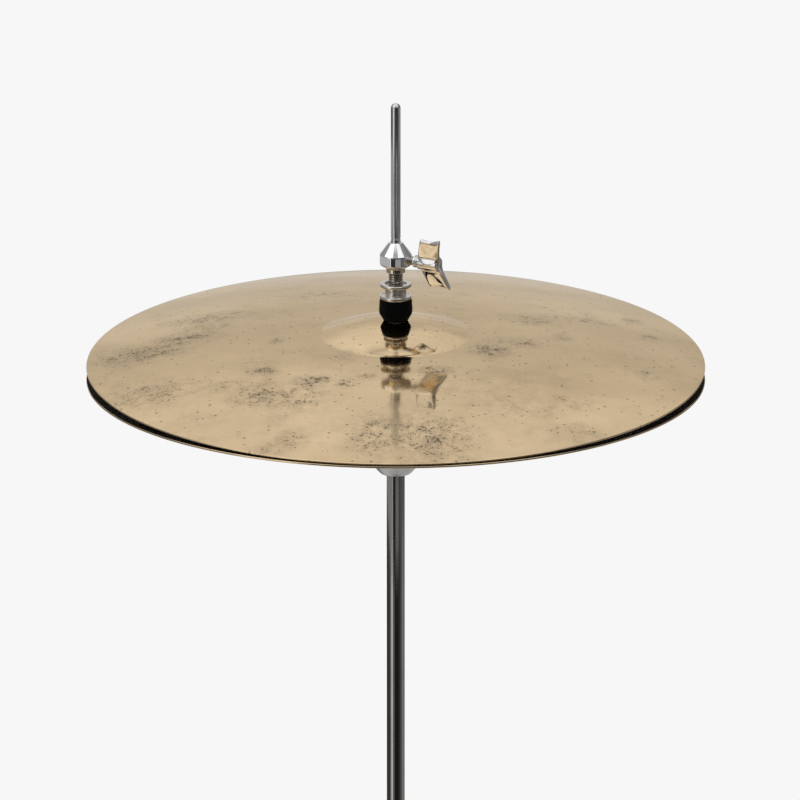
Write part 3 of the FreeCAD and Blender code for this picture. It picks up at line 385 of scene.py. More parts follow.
def cymbal_height(r, radius, rise):
    """Height above the rim, in mm: a shallow bell that flares into the bow."""
    bell = rise - r * r / (2 * BELL_CURVE_MM)
    start = rise - BELL_EDGE_MM ** 2 / (2 * BELL_CURVE_MM)
    out = r - BELL_EDGE_MM
    span = radius - BELL_EDGE_MM
    bend = (start - BOW_START_SLOPE * span) / span ** 2
    bow = start - BOW_START_SLOPE * out - bend * np.maximum(out, 0) ** 2
    soft = 0.6  # blends the two curves where they cross
    gap = np.clip(0.5 + 0.5 * (bell - bow) / soft, 0, 1)
    return bow + (bell - bow) * gap + soft * gap * (1 - gap)


def hammer_marks(x, y, radius, seed):
    """Depth of hundreds of shallow hammer blows laid out in rings, in mm."""
    chance = np.random.default_rng(seed)
    depth = np.zeros_like(x)
    for ring in np.arange(60.0, radius - 6.0, BLOW_RING_STEP_MM):
        count = int(2 * math.pi * ring / BLOW_SPACING_MM)
        start = chance.uniform(0, 2 * math.pi)
        for k in range(count):
            if chance.uniform() < BLOW_SKIPPED:
                continue
            turn = start + 2 * math.pi * (k + chance.uniform(-0.32, 0.32)) / count
            place = ring + chance.uniform(-BLOW_SCATTER_MM, BLOW_SCATTER_MM)
            size = chance.uniform(*BLOW_SIZE_MM)
            blow = chance.uniform(*BLOW_DEPTH_MM)
            distance = (x - place * math.cos(turn)) ** 2 + (y - place * math.sin(turn)) ** 2
            near = distance < (3 * size) ** 2
            depth[near] -= blow * np.exp(-distance[near] / (size * size))
    return depth


def rim_warp(turn):
    return WARP_MM * np.sin(2 * turn + 0.7)


def build_cymbal(node, shader):
    """Hammered sheet, bell up round the local origin, moved to its place on the stand."""
    radius, rise = cymbal_sizes()
    sheet = SHEET_MM[node]
    flare_start, flare_end = BELL_FLARE_MM
    rings = np.concatenate([
        np.linspace(HOLE_MM, flare_start, 24, endpoint=False),
        np.linspace(flare_start, flare_end, 16, endpoint=False),
        np.linspace(flare_end, radius - 0.6, 86),
    ])
    turn = np.linspace(0, 2 * math.pi, CYMBAL_SEGMENTS, endpoint=False)
    r, a = np.meshgrid(rings, turn, indexing="ij")
    x, y = r * np.cos(a), r * np.sin(a)
    dents = hammer_marks(x, y, radius, HAMMER_SEED[node])
    top = cymbal_height(r, radius, rise) + dents + rim_warp(a) * (r / radius) ** 2
    upper = np.stack([x, y, top], -1)
    lower = np.stack([x, y, top - sheet], -1)
    rim = []
    rim_base = cymbal_height(np.array([radius]), radius, rise)[0]
    for inset, drop in ((0.22, 0.0), (0.05, 0.18), (0.0, 0.42), (0.0, sheet - 0.42),
                        (0.05, sheet - 0.18), (0.22, sheet)):
        rr = radius - inset
        rim.append(np.stack([rr * np.cos(turn), rr * np.sin(turn), rim_base - drop + rim_warp(turn)], -1))
    points = np.concatenate([upper, np.array(rim), lower[::-1]]) * MM
    mesh = smooth(face_outwards(grid_mesh(node + "_shape", points, True, True)), 50)
    # faces on the inner side of the sheet, away from the rim, look at the other cymbal; they take a near-black
    # bronze, painted shade of the gap between the two cymbals
    inner = [math.hypot(*face.center.xy) < (radius - 0.8) * MM and face.normal.z < 0
             for face in mesh.polygons]
    if node == "top_cymbal":
        joint = JOINTS["top_cymbal_spin"]
        pivot, axis = Vector(joint["pos_m"]), Vector(joint["axis"])
        hole = Vector((0, 0, (rise - sheet / 2) * MM))
        turn_over = Vector((0, 0, 1)).rotation_difference(axis).to_matrix().to_4x4()
        mesh.transform(Matrix.Translation(pivot) @ turn_over @ Matrix.Translation(-hole))
    else:
        rim_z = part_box("bottom_cymbal")[1].z - sheet * MM
        mesh.transform(Matrix.Translation((0, 0, rim_z)) @ Matrix.Rotation(math.pi, 4, "X"))
    add_piece(node + "_look", mesh, shader, BODY_OF[node], SLOT_OF[node], node)
    mesh.materials.append(SHADED_BRONZE_INSIDE.material)
    for face, shaded_face in zip(mesh.polygons, inner):
        face.material_index = int(shaded_face)


BRONZE = (0.66, 0.50, 0.31)
BRONZE_WARM = (0.70, 0.535, 0.335)
BRONZE_COOL = (0.64, 0.485, 0.30)
BRONZE_STAIN = (0.13, 0.10, 0.07)

# clusters of dark firing stains on the top cymbal:
# place on the sheet and half size of the dense middle in mm, strength
STAINS_MM = [
    ((-172, -2), (40, 20), 0.8),
    ((-158, -8), (26, 12), 1.0),
    ((-140, 14), (24, 16), 1.0),
    ((-124, 34), (22, 14), 0.6),
    ((-124, 56), (34, 14), 0.8),
    ((-160, -80), (44, 26), 0.7),
    ((-170, -66), (20, 20), 0.5),
    ((-86, -65), (11, 8), 1.0),
    ((-78, -11), (6, 8), 0.6),
    ((-86, -104), (26, 22), 0.8),
    ((-66, -112), (26, 26), 0.7),
    ((-53, -88), (16, 10), 1.0),
    ((-32, -92), (10, 10), 0.7),
    ((-110, -84), (18, 14), 0.5),
    ((-96, -52), (24, 12), 0.35),
    ((-21, -81), (12, 10), 0.6),
    ((-34, -48), (12, 12), 0.5),
    ((-66, -169), (12, 14), 0.9),
    ((-80, -180), (12, 12), 0.7),
    ((-13, -172), (20, 32), 0.9),
    ((-53, 96), (34, 14), 0.5),
    ((62, -32), (16, 16), 0.9),
    ((66, -14), (10, 10), 0.5),
    ((88, 38), (18, 12), 0.8),
    ((121, 50), (30, 8), 0.8),
    ((109, 3), (9, 10), 0.5),
    ((83, -14), (12, 12), 0.7),
    ((26, -72), (13, 8), 1.0),
    ((118, -111), (12, 14), 0.5),
    ((164, -46), (8, 10), 0.8),
    ((168, 33), (8, 9), 0.8),
    ((157, 68), (8, 9), 0.7),
    ((22, -176), (36, 44), 0.9),
    ((116, -150), (22, 18), 0.5),
    ((107, -105), (8, 10), 0.6),
    ((68, -114), (52, 50), 0.3),
    ((-140, -130), (50, 34), 0.25),
]


STAIN_REACH = 1.5          # where a cluster has faded out, as a multiple of its half size


def bronze(name, stained):
    """Brilliant cast bronze: warm and cool patches, a faint lathe sheen, dark speckled firing stains."""
    shader = Shader(name, BRONZE, 1.0, 0.08)
    cloud = shader.noise(13.0, 4.0, 0.6)
    color = shader.blend(shader.ramp(cloud, 0.3, 0.7), BRONZE_WARM, BRONZE_COOL)
    rough = shader.ramp(shader.noise(30.0, 5.0, 0.65), 0.35, 0.75, 0.055, 0.10)
    if stained:
        dirt = firing_stains(shader)
        color = shader.blend(dirt, color, BRONZE_STAIN)
        rough = shader.calc("ADD", rough, shader.calc("MULTIPLY", dirt, 0.25))
    shader.put("Base Color", color)
    shader.put("Specular Tint", (0.96, 0.90, 0.80, 1.0))
    shader.put("Roughness", rough)
    lathe_lines = shader.noise(1.0, 2.0, 0.5, ring_coordinate(shader))
    shader.bump(lathe_lines, 0.0006 * MM)
    shader.bump(shader.noise(60.0, 3.0), 0.012 * MM)
    return shader


def dots(shader, cells, size):
    """Round dots of uneven size, one in each cell of a scattered pattern; size may be a socket."""
    cell = shader.node("TexVoronoi")
    shader.feed(cell.inputs["Vector"], shader.where)
    cell.inputs["Scale"].default_value = cells
    chance = shader.node("SeparateColor")
    shader.feed(chance.inputs[0], cell.outputs["Color"])
    reach = shader.calc("MULTIPLY", shader.calc("POWER", chance.outputs[0], 2.5), size)
    reach = shader.calc("ADD", reach, 0.0001)
    inner = shader.calc("MULTIPLY", reach, 0.5)
    return shader.ramp(cell.outputs["Distance"], inner, reach, 1.0, 0.0)


def firing_stains(shader):
    """How dark each point is: speckled clusters in a soft haze, with pits everywhere."""
    bow_z = JOINTS["top_cymbal_spin"]["pos_m"][2] - 10 * MM
    total = None
    for (x, y), (wide, deep), strength in STAINS_MM:
        reach = (STAIN_REACH * wide * MM, STAIN_REACH * deep * MM, 60 * MM)
        patch = shader.spot((x * MM, y * MM, bow_z), reach)
        patch = shader.calc("MULTIPLY", patch, strength)
        total = patch if total is None else shader.calc("MAXIMUM", total, patch)
    blotch = shader.ramp(shader.noise(120.0, 7.0, 0.78, None, 0.3), 0.34, 0.64)
    cover = shader.calc("MULTIPLY", total, blotch)
    fine = dots(shader, 720.0, shader.calc("MULTIPLY", cover, 2.4))
    coarse = dots(shader, 330.0, shader.calc("MULTIPLY", cover, 1.1))
    pits = shader.calc("MAXIMUM", dots(shader, 260.0, 0.38), dots(shader, 80.0, 0.09))
    cloud = shader.calc("MULTIPLY", shader.ramp(shader.noise(34.0, 6.0, 0.75), 0.48, 0.72), 0.20)
    haze = shader.calc("ADD", cloud, shader.calc("MULTIPLY", cover, 0.72))
    dark = shader.calc("MAXIMUM", shader.calc("MAXIMUM", fine, coarse), pits)
    total_dark = shader.calc("ADD", shader.calc("MULTIPLY", dark, 0.56), haze)
    return shader.calc("MINIMUM", total_dark, 1.0)


def ring_coordinate(shader):
    """A coordinate that changes only with the distance from the column, for lathe lines."""
    ring = shader.node("CombineXYZ")
    shader.feed(ring.inputs[0], shader.calc("MULTIPLY", shader.axis_distance(), 1500.0))
    return ring.outputs[0]


# ---------------------------------------------------------------- finishes

CHROME = metal("bright_chrome", (0.80, 0.80, 0.80), 0.05)
STEEL_ROD = drawn_metal("rod_steel", (0.62, 0.63, 0.62), 0.12)
DARK_CHROME = drawn_metal("dark_chrome", (0.36, 0.34, 0.32), 0.09)
NICKEL = metal("satin_nickel", (0.66, 0.63, 0.58), 0.20, 0.08)
SATIN = metal("satin_steel", (0.80, 0.80, 0.79), 0.28, 0.08)
BLACK_STEEL = metal("black_steel", (0.10, 0.10, 0.10), 0.30, 0.2)
SPRING = drawn_metal("spring_steel", (0.45, 0.45, 0.46), 0.25)
THREAD = metal("thread_steel", (0.13, 0.12, 0.115), 0.22)
BLACK_FELT = felt("black_felt", (0.0015, 0.0015, 0.0018), (0.006, 0.006, 0.0065), 0.04)
GREY_FELT = felt("grey_felt", (0.30, 0.30, 0.30), (0.44, 0.44, 0.43), 0.25)
NYLON = plastic("nylon", (0.62, 0.60, 0.55))
BLACK_PLASTIC = plastic("black_plastic", (0.02, 0.02, 0.02))
CAST = cast_metal("cast_aluminium", (0.56, 0.56, 0.57))
RUBBER = rubber("black_rubber", (0.022, 0.022, 0.022))
# near-black bronze for the cymbals' inner faces: painted shade of the gap between the two cymbals, not the metal's
# own colour
SHADED_BRONZE_INSIDE = metal("bronze_inside_painted_shade", (0.055, 0.040, 0.024), 0.5, 0.4, 0.8)
TOP_BRONZE = bronze("bronze_top", True)
BOTTOM_BRONZE = bronze("bronze_bottom", False)

FINISH = {
    "bronze_top": TOP_BRONZE,
    "bronze_bottom": BOTTOM_BRONZE,
    "bright_chrome": CHROME,
    "dark_chrome": DARK_CHROME,
    "rod_steel": STEEL_ROD,
    "satin_nickel": NICKEL,
    "black_steel": BLACK_STEEL,
    "spring_steel": SPRING,
    "black_felt": BLACK_FELT,
    "grey_felt": GREY_FELT,
    "nylon": NYLON,
    "black_plastic": BLACK_PLASTIC,
    "cast_aluminium": CAST,
    "black_rubber": RUBBER,
}

for node, piece in frame["nodes"].items():
    piece.data.materials.clear()
    piece.data.materials.append(FINISH[SLOT_OF[node]].material)

build_cymbal("bottom_cymbal", BOTTOM_BRONZE)
build_cymbal("top_cymbal", TOP_BRONZE)


# ---------------------------------------------------------------- turned pieces

def heights(node):
    low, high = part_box(node)
    return low.z / MM, high.z / MM


def turned(node, corners, shader, radius=0.4, segments=128, wave=None):
    """Lathe piece that stands for a CAD node. Corners are (radius, height in mm above the floor)."""
    mesh = lathe(node + "_shape", rounded_profile(corners, radius), segments, wave)
    return add_piece(node + "_look", mesh, shader, BODY_OF[node], SLOT_OF[node], node)


def tube_corners(node, inner, outer):
    low, high = heights(node)
    return [(inner, low), (outer, low), (outer, high), (inner, high)]


def spread(low, high, step):
    """Evenly spaced heights, about a step apart."""
    count = max(2, int((high - low) / step))
    return list(np.linspace(low, high, count))


def threaded(name, outer, core, low, high, pitch, shader, body, slot, *replaced, placement=None):
    """Rod or tube with a helical thread between two heights in mm, then moved by the placement."""
    depth = 0.36 * pitch
    crests = [(outer, z) for z in spread(low, high, pitch / 8)]
    outline = np.array([(core, low)] + crests + [(core, high)])

    def helix(radius, height, turns):
        phase = (height / pitch - turns / (2 * math.pi)) % 1.0
        tooth = np.abs(phase - 0.5) * 2
        fade = np.clip(np.minimum(height - low, high - height) / pitch, 0, 1)
        groove = depth * np.clip(tooth * 1.25 - 0.12, 0, 1)
        cut = radius - 0.06 - groove * (0.35 + 0.65 * fade)
        return np.where(radius > outer - 0.001, cut, radius), height

    mesh = lathe(name + "_shape", outline, 72, helix)
    if placement is not None:
        mesh.transform(placement)
    return add_piece(name, mesh, shader, body, slot, *replaced)


ROD = 3.175
ROD_BORE = ROD + 0.06
CLUTCH_THREAD = 4.8
NUT_BORE = 4.85
WING_THREAD = 3.0
SOLID_CORE = 0.02  # radius left open on the axis of a solid rod
COARSE_PITCH = 1.5
FINE_PITCH = 1.25
MARK_LOW, MARK_HIGH = 923.9, 924.9  # groove that marks the clutch's depth on the rod

# clutch: collar with its two cones, sleeve, and the threaded tube below it
low, high = heights("clutch_body")
collar = [
    (ROD_BORE, high - 30.0), (4.4, high - 30.0), (4.4, high - 20.6), (5.9, high - 20.4, 0.2),
    (6.3, high - 20.0, 0.2), (6.3, high - 17.5, 0.15), (6.75, high - 17.3, 0.2), (10.1, high - 15.1, 0.3),
    (10.45, high - 14.5, 0.5), (10.45, high - 8.1, 0.35), (4.75, high - 0.35, 0.4), (4.2, high, 0.3),
    (ROD_BORE, high),
]
turned("clutch_body", collar, CHROME, 0.2, 160)
threaded("clutch_thread", CLUTCH_THREAD, ROD_BORE, low, high - 20.5, COARSE_PITCH, THREAD,
         "clutch", "dark_chrome")

low, high = heights("clutch_jam_nut")
jam_nut = [
    (NUT_BORE, low), (9.9, low, 0.5), (10.5, low + 0.8, 0.9), (10.4, high - 0.5, 0.8), (9.2, high, 0.6),
    (7.1, high - 0.3, 0.4), (6.8, high - 1.7, 0.2), (NUT_BORE, high - 1.7),
]
turned("clutch_jam_nut", jam_nut, NICKEL)

low, high = heights("clutch_flange_nut")
flange_nut = [
    (NUT_BORE, low), (10.0, low, 0.5), (10.55, low + 1.1, 0.8), (10.3, low + 2.45, 0.5),
    (9.6, low + 2.5, 0.35), (8.9, low + 1.9, 0.5), (7.35, low + 1.75, 0.4), (7.05, low + 2.6, 0.5),
    (7.05, low + 5.2, 0.1), (6.75, low + 5.35, 0.1), (6.75, low + 5.6, 0.1), (7.05, low + 5.75, 0.1),
    (7.05, high - 0.6, 0.3), (6.6, high, 0.3), (NUT_BORE, high),
]
turned("clutch_flange_nut", flange_nut, NICKEL)


def knurl(count, depth, low, high):
    """Straight knurling of the given count and depth on the outside, between two heights."""
    def cut(radius, height, turns):
        inside = np.clip(np.minimum(height - low, high - height) / 0.6, 0, 1)
        outer = radius > radius.max() - 0.9
        return radius - outer * inside * depth * (0.5 + 0.5 * np.cos(count * turns)), height
    return cut


BOTTOM_NUT = 9.0
low, high = heights("clutch_bottom_nut")
bottom_nut = [(NUT_BORE, low), (8.2, low), (BOTTOM_NUT, low + 1.2), (BOTTOM_NUT, low + 1.7, 0)]
bottom_nut += [(BOTTOM_NUT, z, 0) for z in spread(low + 1.9, high - 2.6, 1.0)]
bottom_nut += [(BOTTOM_NUT, high - 2.4, 0), (BOTTOM_NUT, high - 0.8), (8.4, high), (NUT_BORE, high)]
turned("clutch_bottom_nut", bottom_nut, CHROME, 0.5, 432, knurl(54, 0.35, low + 1.7, high - 2.4))


FELT_STEP_MM = 0.55
FELT_LUMP_MM = 0.06
FELT_SEED = {"upper_felt": 3, "lower_felt": 5, "seat_felt": 7}


def fuzzy(seed, depth):
    """Uneven felt: soft lumps round and along the outside of the piece."""
    chance = np.random.default_rng(seed)
    terms = [(chance.integers(2, 15), chance.uniform(0.1, 1.4), chance.uniform(0, 6.3)) for _ in range(14)]

    def lump(radius, height, turns):
        total = sum(np.sin(n * turns + rate * height + start) for n, rate, start in terms)
        grow = depth * total / len(terms) ** 0.5
        outer = radius > 8
        return radius + grow * outer, height + 0.4 * grow * outer
    return lump


def dense(outline, step):
    """Outline with extra points so that no side is longer than two steps."""
    points = []
    for k, here in enumerate(outline):
        there = outline[(k + 1) % len(outline)]
        count = max(1, int(np.linalg.norm(there - here) / step))
        points += [here + (there - here) * i / count for i in range(count)]
    return np.array(points)


def felt_piece(node, corners, shader):
    outline = dense(rounded_profile(corners, 0.9, 6), FELT_STEP_MM)
    mesh = lathe(node + "_shape", outline, 200, fuzzy(FELT_SEED[node], FELT_LUMP_MM))
    add_piece(node + "_look", mesh, shader, BODY_OF[node], SLOT_OF[node], node)


low, high = heights("upper_felt")
upper_felt = [
    (NUT_BORE, low + 3.2), (6.3, low + 3.2), (6.3, low - 0.2), (8.1, low - 0.25, 0.5), (8.9, low + 1.4, 1.2),
    (10.85, low + 4.5, 1.4), (11.0, low + 6.5, 2.0), (10.6, high - 0.9, 0.8), (10.2, high, 0.5),
    (NUT_BORE, high),
]
felt_piece("upper_felt", upper_felt, BLACK_FELT)

low, high = heights("lower_felt")
lower_felt = [
    (NUT_BORE, low), (10.4, low, 1.1), (10.5, high - 0.4, 1.1), (8.0, high + 0.25, 0.5), (6.3, high),
    (6.3, high - 3.2), (NUT_BORE, high - 3.2),
]
felt_piece("lower_felt", lower_felt, BLACK_FELT)

low, high = heights("seat_felt")
seat_felt = [(5.6, low), (17.8, low, 1.3), (17.9, high - 0.3, 1.3), (10.0, high + 0.05), (5.6, high)]
felt_piece("seat_felt", seat_felt, GREY_FELT)

# rods and tubes
low, high = heights("upper_rod")
upper_rod = [
    (SOLID_CORE, low), (ROD, low), (ROD, MARK_LOW, 0.1), (ROD - 0.35, MARK_LOW + 0.2, 0.1),
    (ROD - 0.35, MARK_HIGH - 0.2, 0.1), (ROD, MARK_HIGH, 0.1), (ROD, high - 2.0, 0.7),
    (ROD - 0.9, high - 0.5, 0.6), (1.3, high, 0.5), (SOLID_CORE, high),
]
turned("upper_rod", upper_rod, STEEL_ROD, 0.2, 96)
turned("upper_tube", tube_corners("upper_tube", 4.5, 6.0), DARK_CHROME, 0.3, 160)
turned("lower_tube", tube_corners("lower_tube", 9.6, 11.1), CHROME, 0.3, 160)

low, high = heights("seat_cup")
seat_cup = [
    (6.02, low + 0.4, 0.2), (7.4, low, 0.5), (9.8, low + 0.3, 1.2), (13.6, low + 4.2, 2.4),
    (17.4, low + 11.0, 4.0), (18.8, low + 18.0, 3.0), (19.0, high - 0.8, 0.4), (18.4, high, 0.4),
    (5.54, high), (5.54, high - 8), (3.9, high - 8), (3.9, high - 18), (6.02, high - 18.2),
]
turned("seat_cup", seat_cup, SATIN, 0.4, 160)

low, high = heights("seat_sleeve")
seat_sleeve = [(3.8, low), (5.5, low), (5.5, high - 0.8), (4.9, high), (3.8, high)]
turned("seat_sleeve", seat_sleeve, BLACK_PLASTIC, 0.3, 96)

# tension dial under the hub, with a knurled grip
DIAL, DIAL_BORE = 17.0, 11.16
low, high = heights("tension_dial")
dial = [(DIAL_BORE, low), (15.6, low), (DIAL, low + 1.4), (DIAL, low + 2.0, 0)]
dial += [(DIAL, z, 0) for z in spread(low + 2.4, high - 2.6, 1.2)]
dial += [(DIAL, high - 2.2, 0), (DIAL, high - 1.4), (15.4, high), (DIAL_BORE, high)]
turned("tension_dial", dial, BLACK_PLASTIC, 0.8, 480, knurl(60, 0.55, low + 2.0, high - 2.2))


# ---------------------------------------------------------------- wing bolts

def wing_grid(tip, out):
    """Butterfly lobes as one closed loft across the span, dished on both faces; screw along +X."""
    spans = np.sin(np.linspace(-0.5, 0.5, 73) * math.pi)
    around = np.linspace(0, 2 * math.pi, 72, endpoint=False)
    s, t = np.meshgrid(spans, around, indexing="ij")
    reach = np.abs(s)
    across = 0.5 - 0.5 * np.cos(t)
    near = out + 16.4 + 4.9 * reach ** 1.2
    far = out + 31.6 + 4.6 * reach ** 1.5
    ease = np.sqrt(np.clip(1 - reach ** 14, 0, 1))
    inset = 1.1 * (1 - ease)
    x = near + inset + (far - near - 2 * inset) * across
    z = s * (tip - 1.5 * np.sin(math.pi * across) + 0.7 * across)
    dish = 1 - 0.48 * np.sin(math.pi * across) ** 0.8 * np.clip(reach * 1.6 - 0.25, 0, 1)
    hub = np.exp(-(s * tip / 4.6) ** 4)
    half = (2.75 - 0.35 * reach + 1.9 * hub) * dish * (0.25 + 0.75 * ease)
    y = half * np.sign(np.sin(t)) * np.abs(np.sin(t)) ** 0.36
    y = y + 0.9 * reach ** 2 * np.sign(s)
    return grid_mesh("lobes", np.stack([x, y, z], -1) * MM, False, True)


def wing_boss(end):
    """Round boss with a small collar towards the screw and a flat far face."""
    outline = rounded_profile([(0.02, 13.9), (3.6, 13.9, 0.3), (4.1, 14.5, 0.4), (4.1, 15.4, 0.2),
                               (3.5, 15.8, 0.2), (3.6, 16.5, 0.3), (4.9, 17.9, 0.8), (4.9, end - 0.5, 0.35),
                               (4.5, end, 0.3), (0.02, end)], 0.3)
    mesh = lathe("boss", outline, 96)
    mesh.transform(Matrix.Rotation(math.pi / 2, 4, "Y"))
    return mesh


def closed(mesh):
    """Caps the open ends of a loft."""
    work = bmesh.new()
    work.from_mesh(mesh)
    edges = [edge for edge in work.edges if len(edge.link_faces) == 1]
    bmesh.ops.holes_fill(work, edges=edges, sides=0)
    bmesh.ops.recalc_face_normals(work, faces=work.faces)
    work.to_mesh(mesh)
    work.free()
    return mesh


def joined(name, meshes):
    """One mesh that holds all the given ones."""
    work = bmesh.new()
    for mesh in meshes:
        work.from_mesh(mesh)
    mesh = bpy.data.meshes.new(name)
    work.to_mesh(mesh)
    work.free()
    return mesh


def frame_matrix(origin, out, span):
    """Placement with local X along out and local Z along span."""
    out, span = Vector(out).normalized(), Vector(span).normalized()
    side = span.cross(out)
    return Matrix.Translation(origin) @ Matrix((
        (out.x, side.x, span.x, 0), (out.y, side.y, span.y, 0), (out.z, side.z, span.z, 0), (0, 0, 0, 1)))


def build_wing(node, tip, out, placement):
    """Winged head that stands for a CAD node: tip is its half span, out its shift along the screw, in mm."""
    head = joined(node + "_shape", [closed(wing_grid(tip, out)), wing_boss(31.4 + out)])
    smooth(head, 42)
    head.transform(placement)
    add_piece(node + "_look", head, CHROME, BODY_OF[node], SLOT_OF[node], node)


def build_screw(name, start, placement, shader, body, slot, *replaced):
    """Threaded screw of a winged head, from start to inside the boss."""
    along = placement @ Matrix.Rotation(math.pi / 2, 4, "Y")
    threaded(name, WING_THREAD, SOLID_CORE, start, 15.0, FINE_PITCH, shader, body, slot, *replaced,
             placement=along)


CLUTCH_WING_TIP = 19.2
CLUTCH_WING_OUT = 1.0
CLUTCH_SCREW_END = 3.35
WING_ROLL = math.radians(25.0)
WING_TURN = math.radians(-29.0)


def build_clutch_wing():
    out = Vector((math.cos(WING_TURN), math.sin(WING_TURN), 0))
    side = Vector((math.sin(WING_TURN), -math.cos(WING_TURN), 0))
    lobe = Vector((0, 0, 1)) * math.cos(WING_ROLL) + side * math.sin(WING_ROLL)
    height = JOINTS["clutch_wing_turn"]["pos_m"][2]
    placement = frame_matrix((0, 0, height), out, lobe)
    build_wing("clutch_wing", CLUTCH_WING_TIP, CLUTCH_WING_OUT, placement)
    build_screw("clutch_screw_look", CLUTCH_SCREW_END, placement, DARK_CHROME, BODY_OF["clutch_screw"],
                SLOT_OF["clutch_screw"], "clutch_screw")


STAND_WING_TIP = 15.6
STAND_WING_START = 6  # distance of the head's local origin from the column's axis
# direction of the bolt and distance of its screw's end from the column's axis
STAND_WINGS = {
    "clamp_wing_bolt": ((1, 0, 0), 6.1),
    "collar_wing_bolt": ((0, -1, 0), 11.2),
}


def build_stand_wings():
    for node, (direction, screw_end) in STAND_WINGS.items():
        low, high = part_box(node)
        out = Vector(direction)
        origin = Vector((0, 0, ((low + high) / 2).z)) + out * STAND_WING_START * MM
        placement = frame_matrix(origin, out, (0, 0, 1))
        build_wing(node, STAND_WING_TIP, 0.0, placement)
        build_screw(node + "_screw_look", screw_end - STAND_WING_START, placement, STEEL_ROD,
                    BODY_OF[node], "rod_steel")


build_clutch_wing()
build_stand_wings()


# ---------------------------------------------------------------- dressed pieces

EDGES_MM = {
    "base_pad": 0.5, "base_frame": 1.4, "heel_rubber": 0.5, "heel_plate": 1.1, "footboard": 0.9,
    "tread_pads": 0.8, "toe_bracket": 0.5, "pull_link": 0.4, "leg_hub": 0.5, "leg_collar": 0.6,
    "height_clamp": 0.7, "clamp_bushing": 0.4, "rod_fork": 0.6, "fork_pin": 0.4, "toe_pin": 0.4,
    "heel_pin": 0.5, "hub_rivets": 0.5, "rod_coupler": 0.3, "spring_cap": 0.5, "spring_seat": 0.3,
    "rod_guide": 0.15, "cymbal_sleeve": 0.2, "radius_rods": 0.3, "lower_pull_rod": 0.3,
}
for index in (1, 2, 3):
    EDGES_MM[f"leg_{index}"] = 0.5
    EDGES_MM[f"brace_{index}"] = 0.5
    EDGES_MM[f"foot_{index}"] = 3.2
    EDGES_MM[f"leg_rivets_{index}"] = 0.5
for node, width in EDGES_MM.items():
    dressed(node, FINISH[SLOT_OF[node]], width)


# ---------------------------------------------------------------- floor, light and camera

FLOOR_LEVEL = 0.930
FLOOR_HALF = 30.0
FLOOR_Z = -0.5 * MM


def add_stage(name, mesh, shader):
    piece = bpy.data.objects.new(name, mesh)
    bpy.context.scene.collection.objects.link(piece)
    mesh.materials.append(shader.material)
    return piece


def build_floor():
    """White floor that only the camera sees; reflections look through it."""
    floor = Shader("floor")
    glow = floor.node("Emission")
    glow.inputs["Strength"].default_value = FLOOR_LEVEL
    glow.inputs["Color"].default_value = (1, 1, 1, 1)
    clear = floor.node("BsdfTransparent")
    mix = floor.node("MixShader")
    path = floor.node("LightPath")
    floor.feed(mix.inputs[0], path.outputs["Is Camera Ray"])
    floor.feed(mix.inputs[1], clear.outputs[0])
    floor.feed(mix.inputs[2], glow.outputs[0])
    floor.show(mix.outputs[0])
    mesh = bpy.data.meshes.new("floor")
    corners = [(x * FLOOR_HALF, y * FLOOR_HALF, FLOOR_Z) for x, y in ((-1, -1), (1, -1), (1, 1), (-1, 1))]
    mesh.from_pydata(corners, [], [(0, 1, 2, 3)])
    add_stage("floor", mesh, floor)


# soft panels of light all round the object, hidden from the camera itself:
# azimuth from the camera (right is positive), elevation, half sizes, softness, brightness
PANELS = [
    (180, 24, 30, 33, 5, 0.95),
    (0, 34, 62, 24, 8, 0.50),
    (-62, 43, 36, 17, 4, 1.30),
    (50, 46, 28, 15, 4, 1.30),
    (0, -90, 400, 46, 8, 0.60),
    (0, 90, 400, 34, 8, 1.28),
    (-105, 28, 46, 38, 8, 0.35),
    (105, 28, 46, 38, 8, 0.35),
    (-48, -14, 14, 30, 5, 1.30),
    (-74, -14, 10, 30, 6, 0.30),
    (-20, -14, 6, 30, 5, 0.30),
    (43, -14, 8, 30, 6, 0.09),
    (65, -14, 12, 30, 6, 0.26),
    (97, -24, 16, 20, 8, 0.80),
    (146, -34, 30, 22, 10, 0.70),
    (-140, -30, 44, 20, 10, 0.10),
]
DARK = 0.03      # brightness where there is no panel
LEAN = -0.004    # change of brightness for each degree to the right
UNEVEN = 0.22    # strength of the clouds in the panels
LOWER_GAIN, UPPER_GAIN = 0.93, 1.22  # brightness below and above the elevations in GAIN_CHANGE
GAIN_CHANGE = (20.0, 38.0)


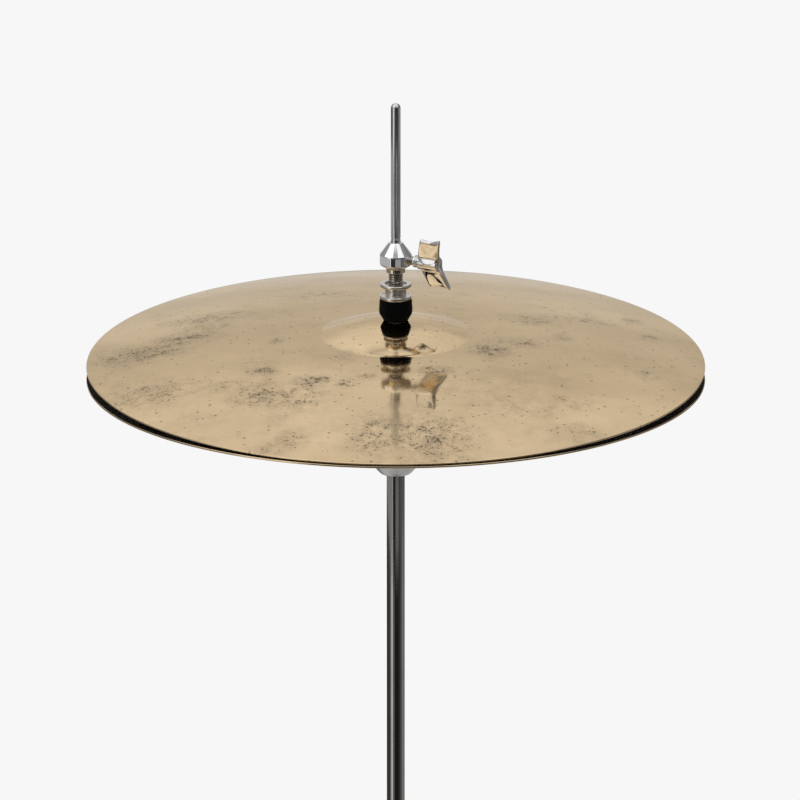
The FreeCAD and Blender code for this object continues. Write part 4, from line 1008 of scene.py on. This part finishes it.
def build_world():
    world = bpy.data.worlds.new("studio")
    bpy.context.scene.world = world
    world.use_nodes = True
    shader = Nodes(world.node_tree, "Generated")
    parts = shader.node("SeparateXYZ")
    shader.feed(parts.inputs[0], shader.where)
    x, y, z = parts.outputs
    back = shader.calc("MULTIPLY", y, -1.0)
    turn = shader.calc("MULTIPLY", shader.calc("ARCTAN2", x, back), 180 / math.pi)
    rise = shader.calc("MULTIPLY", shader.calc("ARCSINE", z), 180 / math.pi)
    total = None
    for azimuth, elevation, half_wide, half_high, soft, level in PANELS:
        away = shader.calc("SUBTRACT", turn, float(azimuth))
        away = shader.calc("WRAP", away, 180.0)
        away.node.inputs[2].default_value = -180.0
        away = shader.calc("ABSOLUTE", away)
        mask = shader.ramp(away, half_wide - soft, half_wide + soft, 1.0, 0.0)
        lift = shader.calc("ABSOLUTE", shader.calc("SUBTRACT", rise, float(elevation)))
        lit = shader.ramp(lift, half_high - soft, half_high + soft, level, 0.0)
        mask = shader.calc("MULTIPLY", mask, lit)
        total = mask if total is None else shader.calc("MAXIMUM", total, mask)
    # brighter to the left and a little cloudy, so that polished sheet shows its hammering
    sideways = shader.calc("MULTIPLY", x, LEAN * 180 / math.pi)
    clouds = shader.calc("SUBTRACT", shader.noise(9.0, 2.0, 0.5), 0.5)
    clouds = shader.calc("MULTIPLY", clouds, 2 * UNEVEN)
    uneven = shader.calc("ADD", shader.calc("ADD", sideways, 1.0), clouds)
    uneven = shader.calc("MULTIPLY", uneven, shader.ramp(rise, *GAIN_CHANGE, LOWER_GAIN, UPPER_GAIN))
    total = shader.calc("MAXIMUM", shader.calc("MULTIPLY", total, uneven), DARK)
    path = shader.node("LightPath")
    seen = shader.node("Mix", data_type="FLOAT")
    shader.feed(seen.inputs[0], path.outputs["Is Camera Ray"])
    shader.feed(seen.inputs[2], total)
    seen.inputs[3].default_value = FLOOR_LEVEL
    glow = shader.node("Background")
    shader.feed(glow.inputs["Strength"], seen.outputs[0])
    output = shader.node("OutputWorld")
    shader.tree.links.new(glow.outputs[0], output.inputs["Surface"])


def build_card(name, mesh, level):
    """A glowing card at a real distance that only reflections see."""
    card = Shader(name)
    glow = card.node("Emission")
    glow.inputs["Strength"].default_value = level
    card.show(glow.outputs[0])
    piece = add_stage(name, mesh, card)
    piece.visible_camera = False
    piece.visible_diffuse = False
    piece.visible_shadow = False


# low screens round the clutch: first and last azimuth from the camera, brightness
SCREENS = [
    (-180, -40, 0.48),
    (-36, -3, 0.03),
    (-3, 36, 0.33),
    (36, 62, 0.13),
    (62, 180, 0.20),
]
SCREEN_DISTANCE = 1.5
SCREEN_HEIGHTS = (0.36, 0.60)
SCREEN_STEP_DEG = 4


def build_screens():
    for index, (first, last, level) in enumerate(SCREENS):
        count = int((last - first) / SCREEN_STEP_DEG) + 2
        turns = [math.radians(a) for a in np.linspace(first, last, count)]
        points = np.array([[(SCREEN_DISTANCE * math.sin(a), -SCREEN_DISTANCE * math.cos(a), z)
                            for z in SCREEN_HEIGHTS] for a in turns])
        build_card(f"screen_{index}", grid_mesh(f"screen_{index}", points, False, False), level)


CAMERA_RISE = math.radians(16.63)
CAMERA_DISTANCE = 5.0
CAMERA_AIM = Vector((0.0028, 0, 0.8140))
CAMERA_LENS = 342.0


def build_camera():
    camera = bpy.data.objects.new("camera", bpy.data.cameras.new("camera"))
    bpy.context.scene.collection.objects.link(camera)
    bpy.context.scene.camera = camera
    camera.data.sensor_width = 36.0
    camera.data.lens = CAMERA_LENS
    camera.data.clip_start = 0.1
    camera.data.clip_end = 200.0
    forward = Vector((0, math.cos(CAMERA_RISE), -math.sin(CAMERA_RISE)))
    camera.location = CAMERA_AIM - forward * CAMERA_DISTANCE
    camera.rotation_mode = "QUATERNION"
    camera.rotation_quaternion = forward.to_track_quat("-Z", "Y")


build_floor()
build_world()
build_screens()
build_camera()
bpy.context.scene.view_settings.view_transform = "Standard"
